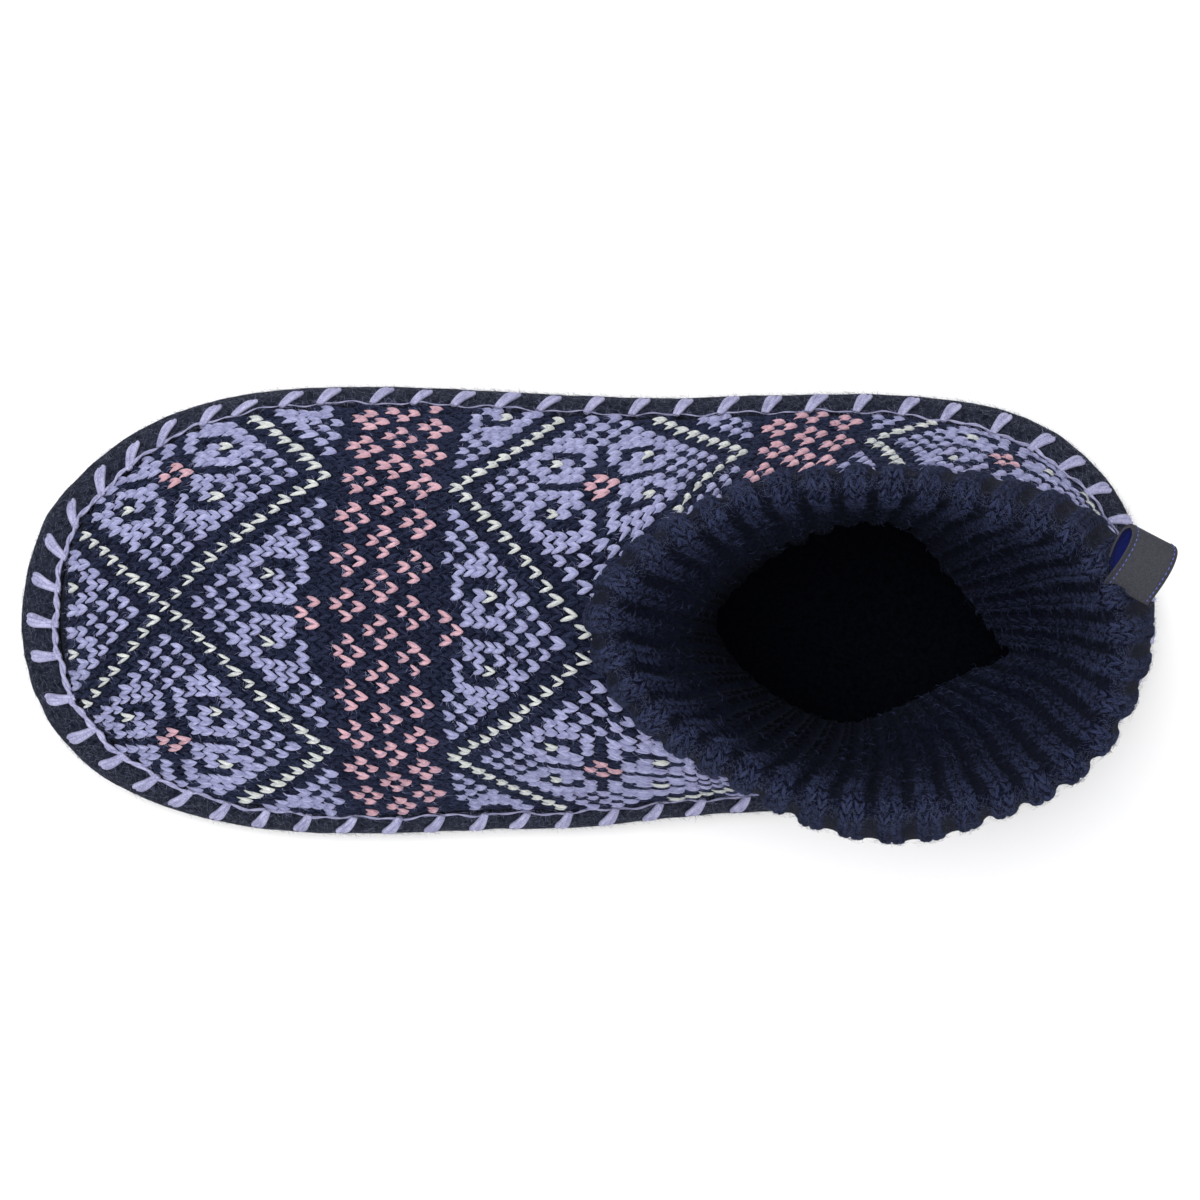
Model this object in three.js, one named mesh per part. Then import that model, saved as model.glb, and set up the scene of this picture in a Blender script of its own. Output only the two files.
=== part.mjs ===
import * as THREE from "three";

// Driving dimensions in millimetres: +X points to the toe, +Y to the lateral side, +Z up
const footLength = 250;
const ballWidth = 98.6;
const bandReach = 8.4;
const seamHeight = 12;
const widestHeight = 5.2;
const soleFloor = 4;
const soleWall = 3;
const soleRounding = 8;
const toeSpring = 4;
const waistLift = 1.2;
const insoleThickness = 2.4;
const insoleInset = 9.4;
const knitWall = 2.5;
const instepHeight = 58.5;
const throatHeight = 74;
const throatLength = 80;
const throatWidth = 55;
const crestFront = 98;
const crestBack = 110;
const crestLength = 103;
const crestWidth = 67;
const hemFront = 65;
const hemBack = 76;
const hemLength = 118;
const hemWidth = 77.5;
const cuffWall = 3.4;
const ribCount = 36;
const ribDepth = 1.1;
const tabWidth = 11;
const tabReach = 11;
const tabOpening = 6;
const tabThickness = 0.9;
const tabTilt = 32;
const clearance = 0.3;

// Where the middle of the ankle lies, as shares of the length and the ball width
const ankleX = -0.232 * footLength;
const ankleY = 0.062 * ballWidth;

// The sole's outline: x as share of the length, y of the ball width, band as share of the band's reach
const lateralOutline = [
  { x: 0.5, y: 0.0233, band: 1 },
  { x: 0.4944, y: 0.1318, band: 0.97 },
  { x: 0.4772, y: 0.2404, band: 0.93 },
  { x: 0.4436, y: 0.342, band: 0.88 },
  { x: 0.3984, y: 0.4118, band: 0.74 },
  { x: 0.3304, y: 0.4686, band: 0.57 },
  { x: 0.256, y: 0.4939, band: 0.5 },
  { x: 0.184, y: 0.498, band: 0.45 },
  { x: 0.0984, y: 0.4899, band: 0.45 },
  { x: 0.002, y: 0.4838, band: 0.45 },
  { x: -0.0728, y: 0.4635, band: 0.45 },
  { x: -0.1512, y: 0.4487, band: 0.45 },
  { x: -0.24, y: 0.4523, band: 0.46 },
  { x: -0.318, y: 0.4564, band: 0.48 },
  { x: -0.38, y: 0.429, band: 0.5 },
  { x: -0.432, y: 0.354, band: 0.5 },
  { x: -0.47, y: 0.2434, band: 0.47 },
  { x: -0.4928, y: 0.1237, band: 0.44 },
  { x: -0.5, y: 0.002, band: 0.43 },
];
const medialOutline = [
  { x: -0.4944, y: -0.1014, band: 0.46 },
  { x: -0.4792, y: -0.2079, band: 0.58 },
  { x: -0.454, y: -0.3083, band: 0.72 },
  { x: -0.4196, y: -0.3874, band: 0.76 },
  { x: -0.3736, y: -0.4462, band: 0.71 },
  { x: -0.3164, y: -0.4746, band: 0.6 },
  { x: -0.24, y: -0.4868, band: 0.5 },
  { x: -0.148, y: -0.4828, band: 0.48 },
  { x: -0.0624, y: -0.4777, band: 0.48 },
  { x: 0.002, y: -0.4828, band: 0.48 },
  { x: 0.118, y: -0.498, band: 0.46 },
  { x: 0.2264, y: -0.502, band: 0.46 },
  { x: 0.2968, y: -0.4888, band: 0.5 },
  { x: 0.3684, y: -0.4422, band: 0.62 },
  { x: 0.416, y: -0.3753, band: 0.76 },
  { x: 0.4436, y: -0.3164, band: 0.81 },
  { x: 0.4772, y: -0.216, band: 0.88 },
  { x: 0.4944, y: -0.0913, band: 0.95 },
];

// The ridge from the toe dome back to the ankle, y as share of the ball width,
// height as share of the instep's height above the seam
const ridge = [
  { x: 0.5, y: 0.0233, height: -0.06 },
  { x: 0.468, y: 0.014, height: 0.0 },
  { x: 0.444, y: 0.004, height: 0.2 },
  { x: 0.412, y: -0.008, height: 0.38 },
  { x: 0.36, y: -0.022, height: 0.5 },
  { x: 0.3, y: -0.014, height: 0.56 },
  { x: 0.22, y: 0.008, height: 0.612 },
  { x: 0.14, y: 0.032, height: 0.74 },
  { x: 0.06, y: 0.06, height: 0.9 },
  { x: 0.0, y: 0.077, height: 1.0 },
];
const ridgePole = 0.345;

// Rings at the ankle: x as share of the ring's length, y of its width, measured from the ankle's middle,
// clockwise from the front when seen from above, by way of the lateral side
const throatRing = [
  { x: 0.5, y: -0.02 },
  { x: 0.4, y: 0.24 },
  { x: 0.22, y: 0.43 },
  { x: 0.0, y: 0.5 },
  { x: -0.25, y: 0.43 },
  { x: -0.44, y: 0.25 },
  { x: -0.53, y: 0.02 },
  { x: -0.44, y: -0.24 },
  { x: -0.23, y: -0.43 },
  { x: 0.0, y: -0.5 },
  { x: 0.24, y: -0.4 },
  { x: 0.42, y: -0.22 },
];
const crestRing = [
  { x: 0.517, y: -0.075 },
  { x: 0.49, y: 0.09 },
  { x: 0.41, y: 0.255 },
  { x: 0.29, y: 0.365 },
  { x: 0.12, y: 0.482 },
  { x: -0.08, y: 0.513 },
  { x: -0.21, y: 0.48 },
  { x: -0.33, y: 0.425 },
  { x: -0.435, y: 0.29 },
  { x: -0.478, y: 0.085 },
  { x: -0.482, y: -0.06 },
  { x: -0.435, y: -0.23 },
  { x: -0.36, y: -0.34 },
  { x: -0.26, y: -0.4 },
  { x: -0.16, y: -0.455 },
  { x: 0.04, y: -0.48 },
  { x: 0.2, y: -0.455 },
  { x: 0.32, y: -0.38 },
  { x: 0.43, y: -0.27 },
  { x: 0.49, y: -0.17 },
];
const hemRing = [
  { x: 0.493, y: -0.075 },
  { x: 0.474, y: 0.07 },
  { x: 0.42, y: 0.2 },
  { x: 0.31, y: 0.34 },
  { x: 0.16, y: 0.46 },
  { x: 0.03, y: 0.525 },
  { x: -0.06, y: 0.54 },
  { x: -0.15, y: 0.518 },
  { x: -0.22, y: 0.47 },
  { x: -0.345, y: 0.35 },
  { x: -0.435, y: 0.22 },
  { x: -0.485, y: 0.1 },
  { x: -0.503, y: -0.02 },
  { x: -0.49, y: -0.17 },
  { x: -0.435, y: -0.3 },
  { x: -0.34, y: -0.395 },
  { x: -0.19, y: -0.45 },
  { x: -0.02, y: -0.462 },
  { x: 0.15, y: -0.44 },
  { x: 0.3, y: -0.36 },
  { x: 0.42, y: -0.25 },
  { x: 0.478, y: -0.155 },
];

// The knit's rise: slope in degrees at the seam, lateral and medial, by share of the way from toe to heel
const seamSlope = [
  { s: 0.0, lateral: 58, medial: 58 },
  { s: 0.25, lateral: 57, medial: 55 },
  { s: 0.45, lateral: 62, medial: 56 },
  { s: 0.62, lateral: 80, medial: 57 },
  { s: 0.8, lateral: 86, medial: 70 },
  { s: 1.0, lateral: 87, medial: 87 },
];
const ankleSlope = [
  { s: 0.5, lateral: 34, medial: 34 },
  { s: 0.62, lateral: 66, medial: 60 },
  { s: 0.8, lateral: 68, medial: 66 },
  { s: 1.0, lateral: 70, medial: 70 },
];

// Shares of the way from toe to heel where the sections leave the toe dome, the instep and the throat's front
const domeEnd = 0.2;
const instepEnd = 0.5;
const throatStart = 0.57;

const lerp = (a, b, t) => a + (b - a) * t;
const clamp = (v, a, b) => Math.min(b, Math.max(a, v));
const smooth = (t) => t * t * (3 - 2 * t);
const radians = (d) => (d * Math.PI) / 180;

function tableAt(table, key, at, name) {
  let i = 0;
  while (i < table.length - 2 && at > table[i + 1][key]) i++;
  const t = clamp((at - table[i][key]) / (table[i + 1][key] - table[i][key]), 0, 1);
  return lerp(table[i][name], table[i + 1][name], smooth(t));
}

// A smooth closed or open line through points given as arrays, with fine steps
function throughPoints(points, closed, steps = 12) {
  const n = points.length;
  const last = closed ? n : n - 1;
  const at = (i) => (closed ? points[(i + n) % n] : points[clamp(i, 0, n - 1)]);
  const line = [];
  for (let i = 0; i < last; i++) {
    const [p0, p1, p2, p3] = [at(i - 1), at(i), at(i + 1), at(i + 2)];
    const gap = (a, b) => Math.max(Math.sqrt(Math.hypot(a[0] - b[0], a[1] - b[1])), 1e-4);
    const d01 = !closed && i === 0 ? gap(p1, p2) : gap(p0, p1);
    const d12 = gap(p1, p2);
    const d23 = !closed && i === last - 1 ? d12 : gap(p2, p3);
    for (let k = 0; k < steps; k++) {
      const t = k / steps;
      line.push(
        p1.map((_, c) => {
          const m1 = (p1[c] - p0[c]) / d01 - (p2[c] - p0[c]) / (d01 + d12) + (p2[c] - p1[c]) / d12;
          const m2 = (p2[c] - p1[c]) / d12 - (p3[c] - p1[c]) / (d12 + d23) + (p3[c] - p2[c]) / d23;
          const [v1, v2] = [m1 * d12, m2 * d12];
          const a = 2 * p1[c] - 2 * p2[c] + v1 + v2;
          const b = -3 * p1[c] + 3 * p2[c] - 2 * v1 - v2;
          return ((a * t + b) * t + v1) * t + p1[c];
        }),
      );
    }
  }
  line.push([...(closed ? points[0] : points[n - 1])]);
  return line;
}

// A line measured by its length in plan, read at a share of that length
function measured(line) {
  const sums = [0];
  for (let i = 1; i < line.length; i++) {
    sums.push(sums[i - 1] + Math.hypot(line[i][0] - line[i - 1][0], line[i][1] - line[i - 1][1]));
  }
  const total = sums[sums.length - 1];
  return (share) => {
    const want = clamp(share, 0, 1) * total;
    let i = 0;
    while (i < sums.length - 2 && sums[i + 1] < want) i++;
    const t = clamp((want - sums[i]) / (sums[i + 1] - sums[i]), 0, 1);
    return line[i].map((v, c) => lerp(v, line[i + 1][c], t));
  };
}

// Both sides of the outline run from the toe's tip to the heel's back
const outlinePoint = (p) => [p.x * footLength, p.y * ballWidth, p.band * bandReach];
const outlineLine = throughPoints([...lateralOutline, ...medialOutline].map(outlinePoint), true);
const heelAt = (lateralOutline.length - 1) * 12;
const outline = {
  lateral: measured(outlineLine.slice(0, heelAt + 1)),
  medial: measured(outlineLine.slice(heelAt).reverse()),
};

function outlineAt(side, s) {
  const p = outline[side](s);
  const a = outline[side](Math.max(s - 0.004, 0));
  const b = outline[side](Math.min(s + 0.004, 1));
  const turn = side === "lateral" ? 1 : -1;
  let inward = [-turn * (b[1] - a[1]), turn * (b[0] - a[0])];
  if (s === 0) inward = [-1, 0];
  if (s === 1) inward = [1, 0];
  const size = Math.hypot(...inward);
  return { x: p[0], y: p[1], band: p[2], nx: inward[0] / size, ny: inward[1] / size };
}

function lift(x) {
  const toe = clamp((x / footLength - 0.29) / 0.21, 0, 1);
  const waist = clamp(1 - Math.abs(x / footLength + 0.12) / 0.1, 0, 1);
  return toeSpring * toe * toe + waistLift * smooth(waist);
}

const insetPoint = (o, inset, z) => [o.x + o.nx * inset, o.y + o.ny * inset, z + lift(o.x)];

// Triangles are gathered by position, so that pieces of a skin join where they touch
class Skin {
  constructor() {
    this.points = [];
    this.faces = [];
    this.seen = new Map();
  }
  point(p) {
    const key = p.map((v) => Math.round(v * 2000)).join(",");
    if (!this.seen.has(key)) {
      this.seen.set(key, this.points.length);
      this.points.push([...p]);
    }
    return this.seen.get(key);
  }
  face(a, b, c) {
    const f = [this.point(a), this.point(b), this.point(c)];
    if (f[0] !== f[1] && f[1] !== f[2] && f[0] !== f[2]) this.faces.push(f);
  }
  quad(a, b, c, d) {
    this.face(a, b, c);
    this.face(a, c, d);
  }
  sheet(rows, flipped = false) {
    for (let i = 0; i + 1 < rows.length; i++) {
      for (let j = 0; j + 1 < rows[i].length; j++) {
        const q = [rows[i][j], rows[i + 1][j], rows[i + 1][j + 1], rows[i][j + 1]];
        if (flipped) q.reverse();
        this.quad(...q);
      }
    }
  }
  normals() {
    const sums = this.points.map(() => new THREE.Vector3());
    for (const f of this.faces) {
      const [a, b, c] = f.map((i) => new THREE.Vector3(...this.points[i]));
      const n = b.sub(a).cross(c.sub(a));
      for (const i of f) sums[i].add(n);
    }
    return sums.map((n) => n.normalize());
  }
  // A wall of even thickness on the inner side, closed along every open edge
  thickened(wall) {
    const normals = this.normals();
    const count = this.points.length;
    const points = [...this.points, ...this.points.map((p, i) => p.map((v, c) => v - wall * normals[i].getComponent(c)))];
    const faces = [...this.faces, ...this.faces.map(([a, b, c]) => [c + count, b + count, a + count])];
    const edges = new Set();
    for (const [a, b, c] of this.faces) for (const e of [[a, b], [b, c], [c, a]]) edges.add(e.join("_"));
    for (const e of edges) {
      const [a, b] = e.split("_").map(Number);
      if (!edges.has(`${b}_${a}`)) faces.push([b, a, a + count], [b, a + count, b + count]);
    }
    return { points, faces };
  }
}

function mesh(name, { points, faces }, color, roughness) {
  const geometry = new THREE.BufferGeometry();
  geometry.setAttribute("position", new THREE.Float32BufferAttribute(points.flat(), 3));
  geometry.setIndex(faces.flat());
  geometry.computeVertexNormals();
  const made = new THREE.Mesh(geometry, new THREE.MeshStandardMaterial({ color, roughness, metalness: 0 }));
  made.name = name;
  return made;
}

// Stations along both sides, closer at the toe and the heel
const stations = 44;
const stationAt = (i) => i / stations;
const sides = ["lateral", "medial"];

// The middle line that the sole's bottom and floor and the insole's faces run to
const spinePoint = (s, z) => {
  const [a, b] = sides.map((side) => outline[side](s));
  const x = clamp((a[0] + b[0]) / 2, -0.33 * footLength, 0.33 * footLength);
  return [x, 0, z + lift(x)];
};

// Felt tray: a flat bottom, a rounded side and a band that leans in to the seam
function soleSection(band) {
  const end = radians(40);
  const side = [0, 0.35, 0.7, 1].map((t) => {
    const inset = (band * (1 - Math.cos(end * t))) / (1 - Math.cos(end));
    return [inset, widestHeight + ((seamHeight - widestHeight) * Math.sin(end * t)) / Math.sin(end)];
  });
  const inner = side.map((p, i) => {
    const a = side[Math.max(i - 1, 0)];
    const b = side[Math.min(i + 1, side.length - 1)];
    const size = Math.hypot(b[0] - a[0], b[1] - a[1]);
    return [p[0] + (soleWall * (b[1] - a[1])) / size, p[1] - (soleWall * (b[0] - a[0])) / size];
  });
  return [
    [soleRounding, 0],
    [soleRounding * 0.5, widestHeight * 0.05],
    [soleRounding * 0.2, widestHeight * 0.3],
    ...side,
    ...inner.reverse(),
    [soleWall + 0.2 * soleRounding, lerp(soleFloor, widestHeight, 0.2)],
    [soleWall + 0.6 * soleRounding, soleFloor],
  ];
}

function sole() {
  const skin = new Skin();
  for (const side of sides) {
    const rows = [];
    for (let i = 0; i <= stations; i++) {
      const s = stationAt(i);
      const o = outlineAt(side, s);
      rows.push([spinePoint(s, 0), ...soleSection(o.band).map(([d, z]) => insetPoint(o, d, z)), spinePoint(s, soleFloor)]);
    }
    skin.sheet(rows, side === "lateral");
  }
  return skin;
}

function insole() {
  const bottom = soleFloor + clearance;
  const top = bottom + insoleThickness;
  const skin = new Skin();
  for (const side of sides) {
    const rows = [];
    for (let i = 0; i <= stations; i++) {
      const s = stationAt(i);
      const o = outlineAt(side, s);
      rows.push([
        spinePoint(s, bottom),
        insetPoint(o, insoleInset, bottom),
        insetPoint(o, insoleInset, lerp(bottom, top, 0.6)),
        insetPoint(o, insoleInset + 0.4 * insoleThickness, top),
        spinePoint(s, top),
      ]);
    }
    skin.sheet(rows, side === "lateral");
  }
  return skin;
}

// The ring lines run from the front by the lateral side; both halves run from front to back
function ringLine(ring, length, width, back) {
  const line = throughPoints(ring.map((p) => [ankleX + p.x * length, ankleY + p.y * width]), true);
  const whole = measured(line);
  const halves = { lateral: measured(line.slice(0, back * 12 + 1)), medial: measured(line.slice(back * 12).reverse()) };
  return { whole, halves };
}
const throat = ringLine(throatRing, throatLength, throatWidth, 6);
const crest = ringLine(crestRing, crestLength, crestWidth, 10);
const hem = ringLine(hemRing, hemLength, hemWidth, 12);

function outwardAt(read, share) {
  const wrap = (v) => v - Math.floor(v);
  const a = read(wrap(share - 0.01));
  const b = read(wrap(share + 0.01));
  const size = Math.hypot(b[0] - a[0], b[1] - a[1]);
  return [-(a[1] - b[1]) / size, (a[0] - b[0]) / size];
}

// The ridge's line in space, and the run from the instep to the front of the throat
const rise = instepHeight - seamHeight;
const ridgeLine = throughPoints(
  ridge.map((p) => [p.x * footLength, p.y * ballWidth, seamHeight + lift(p.x * footLength) + p.height * rise]),
  false,
);
const throatFront = [...throat.whole(0), throatHeight];
function ridgeAt(x) {
  let i = 0;
  while (i < ridgeLine.length - 2 && ridgeLine[i + 1][0] > x) i++;
  const t = clamp((ridgeLine[i][0] - x) / (ridgeLine[i][0] - ridgeLine[i + 1][0]), 0, 1);
  return ridgeLine[i].map((v, c) => lerp(v, ridgeLine[i + 1][c], t));
}

function sectionEnd(side, s) {
  const pole = ridgePole * footLength;
  if (s <= instepEnd) {
    const x = s <= domeEnd ? pole : lerp(pole, 0, (s - domeEnd) / (instepEnd - domeEnd));
    const [a, b] = [ridgeAt(x + 1), ridgeAt(x - 1)];
    return { p: ridgeAt(x), slope: (b[2] - a[2]) / 2, along: 0 };
  }
  if (s <= throatStart) {
    const t = (s - instepEnd) / (throatStart - instepEnd);
    const from = ridgeAt(0);
    const p = from.map((v, c) => lerp(v, throatFront[c], t));
    return { p, slope: (throatFront[2] - from[2]) / (from[0] - throatFront[0]), along: 0 };
  }
  const t = (s - throatStart) / (1 - throatStart);
  const at = throat.halves[side](t);
  return { p: [...at, throatHeight], slope: 0, along: t };
}

// The four points that steer one section of the upper's outer skin, from the seam to the ridge or the throat
function sectionPoints(side, s) {
  const o = outlineAt(side, s);
  const start = insetPoint(o, o.band + clearance * 0.5, seamHeight + clearance);
  const end = sectionEnd(side, s);
  const rising = radians(tableAt(seamSlope, "s", s, side));
  const leave = [o.nx * Math.cos(rising), o.ny * Math.cos(rising), Math.sin(rising)];
  const flat = [end.p[0] - start[0], end.p[1] - start[1]];
  const reach = Math.hypot(...flat);
  let arrive = [flat[0] / reach, flat[1] / reach, (-flat[0] / reach) * end.slope];
  if (s > throatStart) {
    const leaning = radians(tableAt(ankleSlope, "s", s, side));
    const a = throat.halves[side](Math.max(end.along - 0.01, 0));
    const b = throat.halves[side](Math.min(end.along + 0.01, 1));
    const turn = side === "lateral" ? 1 : -1;
    const size = Math.hypot(b[0] - a[0], b[1] - a[1]);
    let inward = [(-turn * (b[1] - a[1])) / size, (turn * (b[0] - a[0])) / size];
    if (s === 1) inward = [1, 0];
    const climb = [inward[0] * Math.cos(leaning), inward[1] * Math.cos(leaning), Math.sin(leaning)];
    const mix = smooth(clamp(end.along / 0.22, 0, 1));
    arrive = arrive.map((v, c) => lerp(v, climb[c], mix));
  }
  const chord = Math.hypot(reach, end.p[2] - start[2]);
  const hold = [0.4 * chord, (s > throatStart ? lerp(0.4, 0.32, smooth(clamp(end.along / 0.3, 0, 1))) : 0.4) * chord];
  const size = Math.hypot(...arrive);
  const p1 = start.map((v, c) => v + hold[0] * leave[c]);
  const p2 = end.p.map((v, c) => v - (hold[1] * arrive[c]) / size);
  return [start, p1, p2, end.p];
}

// Around the front of the ankle the steering points are evened out, so that the skin turns without a crease
function upperSection(side, s, steps) {
  const [start, own1, own2, end] = sectionPoints(side, s);
  const ease = smooth(clamp((s - 0.4) / 0.06, 0, 1)) * smooth(clamp((0.84 - s) / 0.12, 0, 1));
  const mean = [0, 0, 0];
  let weight = 0;
  for (let k = -6; k <= 6; k++) {
    const near = sectionPoints(side, s + k * 0.014 * ease);
    const w = 7 - Math.abs(k);
    weight += w;
    for (let c = 0; c < 3; c++) mean[c] += w * (near[2][c] - near[3][c]);
  }
  const p2 = end.map((v, c) => v + mean[c] / weight);
  const section = [];
  for (let j = 0; j <= steps; j++) {
    const t = j / steps;
    const w = [(1 - t) ** 3, 3 * t * (1 - t) ** 2, 3 * t * t * (1 - t), t ** 3];
    section.push(start.map((v, c) => w[0] * v + w[1] * own1[c] + w[2] * p2[c] + w[3] * end[c]));
  }
  return section;
}

function upper() {
  const skin = new Skin();
  const steps = 11;
  for (const side of sides) {
    const rows = [];
    for (let i = 0; i <= stations; i++) rows.push(upperSection(side, stationAt(i), steps));
    skin.sheet(rows, side === "lateral");
  }
  const made = skin.thickened(knitWall);
  for (const p of made.points) p[2] = Math.min(p[2], throatHeight);
  return made;
}

// The rib collar: a funnel that widens from the throat to the crest, folded over and hanging outside
function cuffFrame(share) {
  const around = (1 - Math.cos(2 * Math.PI * share)) / 2;
  return {
    throat: throat.whole(share),
    throatOut: outwardAt(throat.whole, share),
    crest: crest.whole(share),
    crestOut: outwardAt(crest.whole, share),
    hem: hem.whole(share),
    hemOut: outwardAt(hem.whole, share),
    top: lerp(crestFront, crestBack, around),
    bottom: lerp(hemFront, hemBack, around ** 0.45),
  };
}

function cuffSection(share) {
  const f = cuffFrame(share);
  const rib = 0.5 * ribDepth * Math.cos(2 * Math.PI * ribCount * share);
  const foot = throatHeight + clearance;
  const spot = (p, n, out, z) => [p[0] + n[0] * out, p[1] + n[1] * out, z];
  const between = (a, b, t, out) => {
    const p = a.map((v, c) => lerp(v, b[c], t));
    return [p[0] + f.crestOut[0] * out, p[1] + f.crestOut[1] * out, p[2]];
  };
  const innerFoot = spot(f.throat, f.throatOut, -cuffWall * 0.8, foot);
  const innerTop = spot(f.crest, f.crestOut, -cuffWall - rib, f.top - 1.3 * cuffWall);
  const outerTop = spot(f.crest, f.crestOut, cuffWall + rib, f.top - 1.4 * cuffWall);
  const outerFoot = spot(f.hem, f.hemOut, rib, f.bottom + 0.9 * cuffWall);
  return [
    innerFoot,
    between(innerFoot, innerTop, 0.5, 0.3 * cuffWall - rib),
    innerTop,
    spot(f.crest, f.crestOut, -0.55 * cuffWall, f.top - 0.28 * cuffWall + rib),
    spot(f.crest, f.crestOut, 0.1 * cuffWall, f.top + rib),
    spot(f.crest, f.crestOut, 0.68 * cuffWall, f.top - 0.42 * cuffWall + rib),
    outerTop,
    between(outerTop, outerFoot, 0.5, 0.25 * cuffWall),
    outerFoot,
    spot(f.hem, f.hemOut, -0.25 * cuffWall, f.bottom),
    spot(f.hem, f.hemOut, -0.8 * cuffWall, f.bottom + 0.1 * cuffWall),
    spot(f.hem, f.hemOut, -cuffWall, f.bottom + 0.9 * cuffWall),
    between(outerTop, outerFoot, 0.5, -0.75 * cuffWall),
    spot(f.crest, f.crestOut, 0.05 * cuffWall, f.top - 1.7 * cuffWall),
    between(innerFoot, innerTop, 0.5, 1.15 * cuffWall),
    spot(f.throat, f.throatOut, 0.1 * cuffWall, foot),
  ];
}

function cuff() {
  const around = 4 * ribCount;
  const rows = [];
  for (let i = 0; i < around; i++) {
    const section = cuffSection(i / around);
    rows.push([...section, section[0]]);
  }
  rows.push(rows[0]);
  const skin = new Skin();
  skin.sheet(rows);
  return skin;
}

// A plain loop of tape on the outside of the collar, to the medial side of the heel
const tabShare = 0.57;
const tabSeat = 2.8;
function heelTab() {
  const onFace = (share) => {
    const [high, low] = cuffSection(share).slice(6, 8).map((p) => new THREE.Vector3(...p));
    return high.lerp(low, 0.3);
  };
  const up = new THREE.Vector3(0, 0, 1);
  const along = onFace(tabShare - 1 / ribCount).sub(onFace(tabShare + 1 / ribCount)).setZ(0).normalize();
  const out = new THREE.Vector3().crossVectors(along, up);
  if (out.x > 0) out.negate();
  const seat = onFace(tabShare).addScaledVector(out, tabSeat + clearance);
  const tilt = radians(tabTilt);
  const axis = along.clone().multiplyScalar(Math.cos(tilt)).addScaledVector(up, Math.sin(tilt));
  const across = new THREE.Vector3().crossVectors(out, axis);
  const half = tabOpening / 2;
  const path = [
    [0, half * 0.8],
    [0.3 * tabReach, half * 1.05],
    [0.65 * tabReach, half],
    [0.9 * tabReach, half * 0.6],
    [tabReach, 0],
    [0.9 * tabReach, -half * 0.6],
    [0.65 * tabReach, -half],
    [0.3 * tabReach, -half * 1.05],
    [0, -half * 0.8],
  ];
  const line = throughPoints(path, false, 3);
  const skin = new Skin();
  const rows = line.map((p, i) => {
    const a = line[Math.max(i - 1, 0)];
    const b = line[Math.min(i + 1, line.length - 1)];
    const size = Math.hypot(b[0] - a[0], b[1] - a[1]);
    const n = [(b[1] - a[1]) / size, -(b[0] - a[0]) / size];
    const corner = (shift, w) =>
      seat
        .clone()
        .addScaledVector(out, p[0] + n[0] * shift)
        .addScaledVector(across, p[1] + n[1] * shift)
        .addScaledVector(axis, w)
        .toArray();
    const [t, w] = [tabThickness / 2, tabWidth / 2];
    return [corner(t, -w), corner(t, w), corner(-t, w), corner(-t, -w), corner(t, -w)];
  });
  skin.sheet(rows);
  const [first, last] = [rows[0], rows[rows.length - 1]];
  skin.quad(first[0], first[1], first[2], first[3]);
  skin.quad(last[3], last[2], last[1], last[0]);
  return skin;
}

// Every closed body faces out
function facingOut({ points, faces }) {
  let volume = 0;
  for (const f of faces) {
    const [a, b, c] = f.map((i) => new THREE.Vector3(...points[i]));
    volume += a.dot(b.cross(c));
  }
  return { points, faces: volume < 0 ? faces.map((f) => [...f].reverse()) : faces };
}

const slipper = new THREE.Group();
slipper.name = "knitted_slipper";
slipper.add(
  mesh("sole", facingOut(sole()), 0x252b3d, 0.95),
  mesh("insole", facingOut(insole()), 0x1c2030, 0.95),
  mesh("upper", facingOut(upper()), 0x6d6f95, 0.95),
  mesh("cuff", facingOut(cuff()), 0x1b2038, 0.97),
  mesh("heel_tab", facingOut(heelTab()), 0x53566e, 0.8),
);

export default slipper;
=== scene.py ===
import math

import bpy
import numpy as np
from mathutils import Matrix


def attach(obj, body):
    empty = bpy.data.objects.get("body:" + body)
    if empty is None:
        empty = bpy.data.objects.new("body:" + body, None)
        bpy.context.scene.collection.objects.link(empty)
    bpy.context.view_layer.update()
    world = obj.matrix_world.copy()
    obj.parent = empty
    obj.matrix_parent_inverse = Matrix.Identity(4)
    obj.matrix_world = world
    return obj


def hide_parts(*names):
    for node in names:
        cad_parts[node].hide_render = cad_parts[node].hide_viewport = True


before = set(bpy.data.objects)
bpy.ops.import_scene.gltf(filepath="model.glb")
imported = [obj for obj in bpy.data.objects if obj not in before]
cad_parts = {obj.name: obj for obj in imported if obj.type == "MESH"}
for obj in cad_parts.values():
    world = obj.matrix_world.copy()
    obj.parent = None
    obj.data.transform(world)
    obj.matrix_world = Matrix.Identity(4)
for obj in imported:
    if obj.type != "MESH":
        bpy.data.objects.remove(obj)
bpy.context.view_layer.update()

# Everything below is worked out in millimetres and set down in metres
FOOT_LENGTH = 250.0
BALL_WIDTH = 98.6
BAND_REACH = 8.4
SEAM_HEIGHT = 12.0
WIDEST_HEIGHT = 5.2
SOLE_FLOOR = 4.0
SOLE_WALL = 3.0
SOLE_ROUNDING = 8.0
TOE_SPRING = 4.0
WAIST_LIFT = 1.2
INSOLE_THICKNESS = 2.4
INSOLE_INSET = 9.4
KNIT_WALL = 2.5
INSTEP_HEIGHT = 58.5
THROAT_HEIGHT = 74.0
THROAT_LENGTH = 80.0
THROAT_WIDTH = 55.0
CREST_FRONT = 98.0
CREST_BACK = 110.0
CREST_LENGTH = 103.0
CREST_WIDTH = 67.0
HEM_FRONT = 65.0
HEM_BACK = 76.0
HEM_LENGTH = 118.0
HEM_WIDTH = 77.5
CUFF_WALL = 3.4
RIB_COUNT = 36
RIB_DEPTH = 1.1
TAB_WIDTH = 11.0
TAB_REACH = 11.0
TAB_OPENING = 6.0
TAB_THICKNESS = 0.9
TAB_TILT = 32.0
TAB_SEAT = 2.8
TAB_SHARE = 0.57
CLEARANCE = 0.3
ANKLE = (-0.232 * FOOT_LENGTH, 0.062 * BALL_WIDTH)

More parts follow.
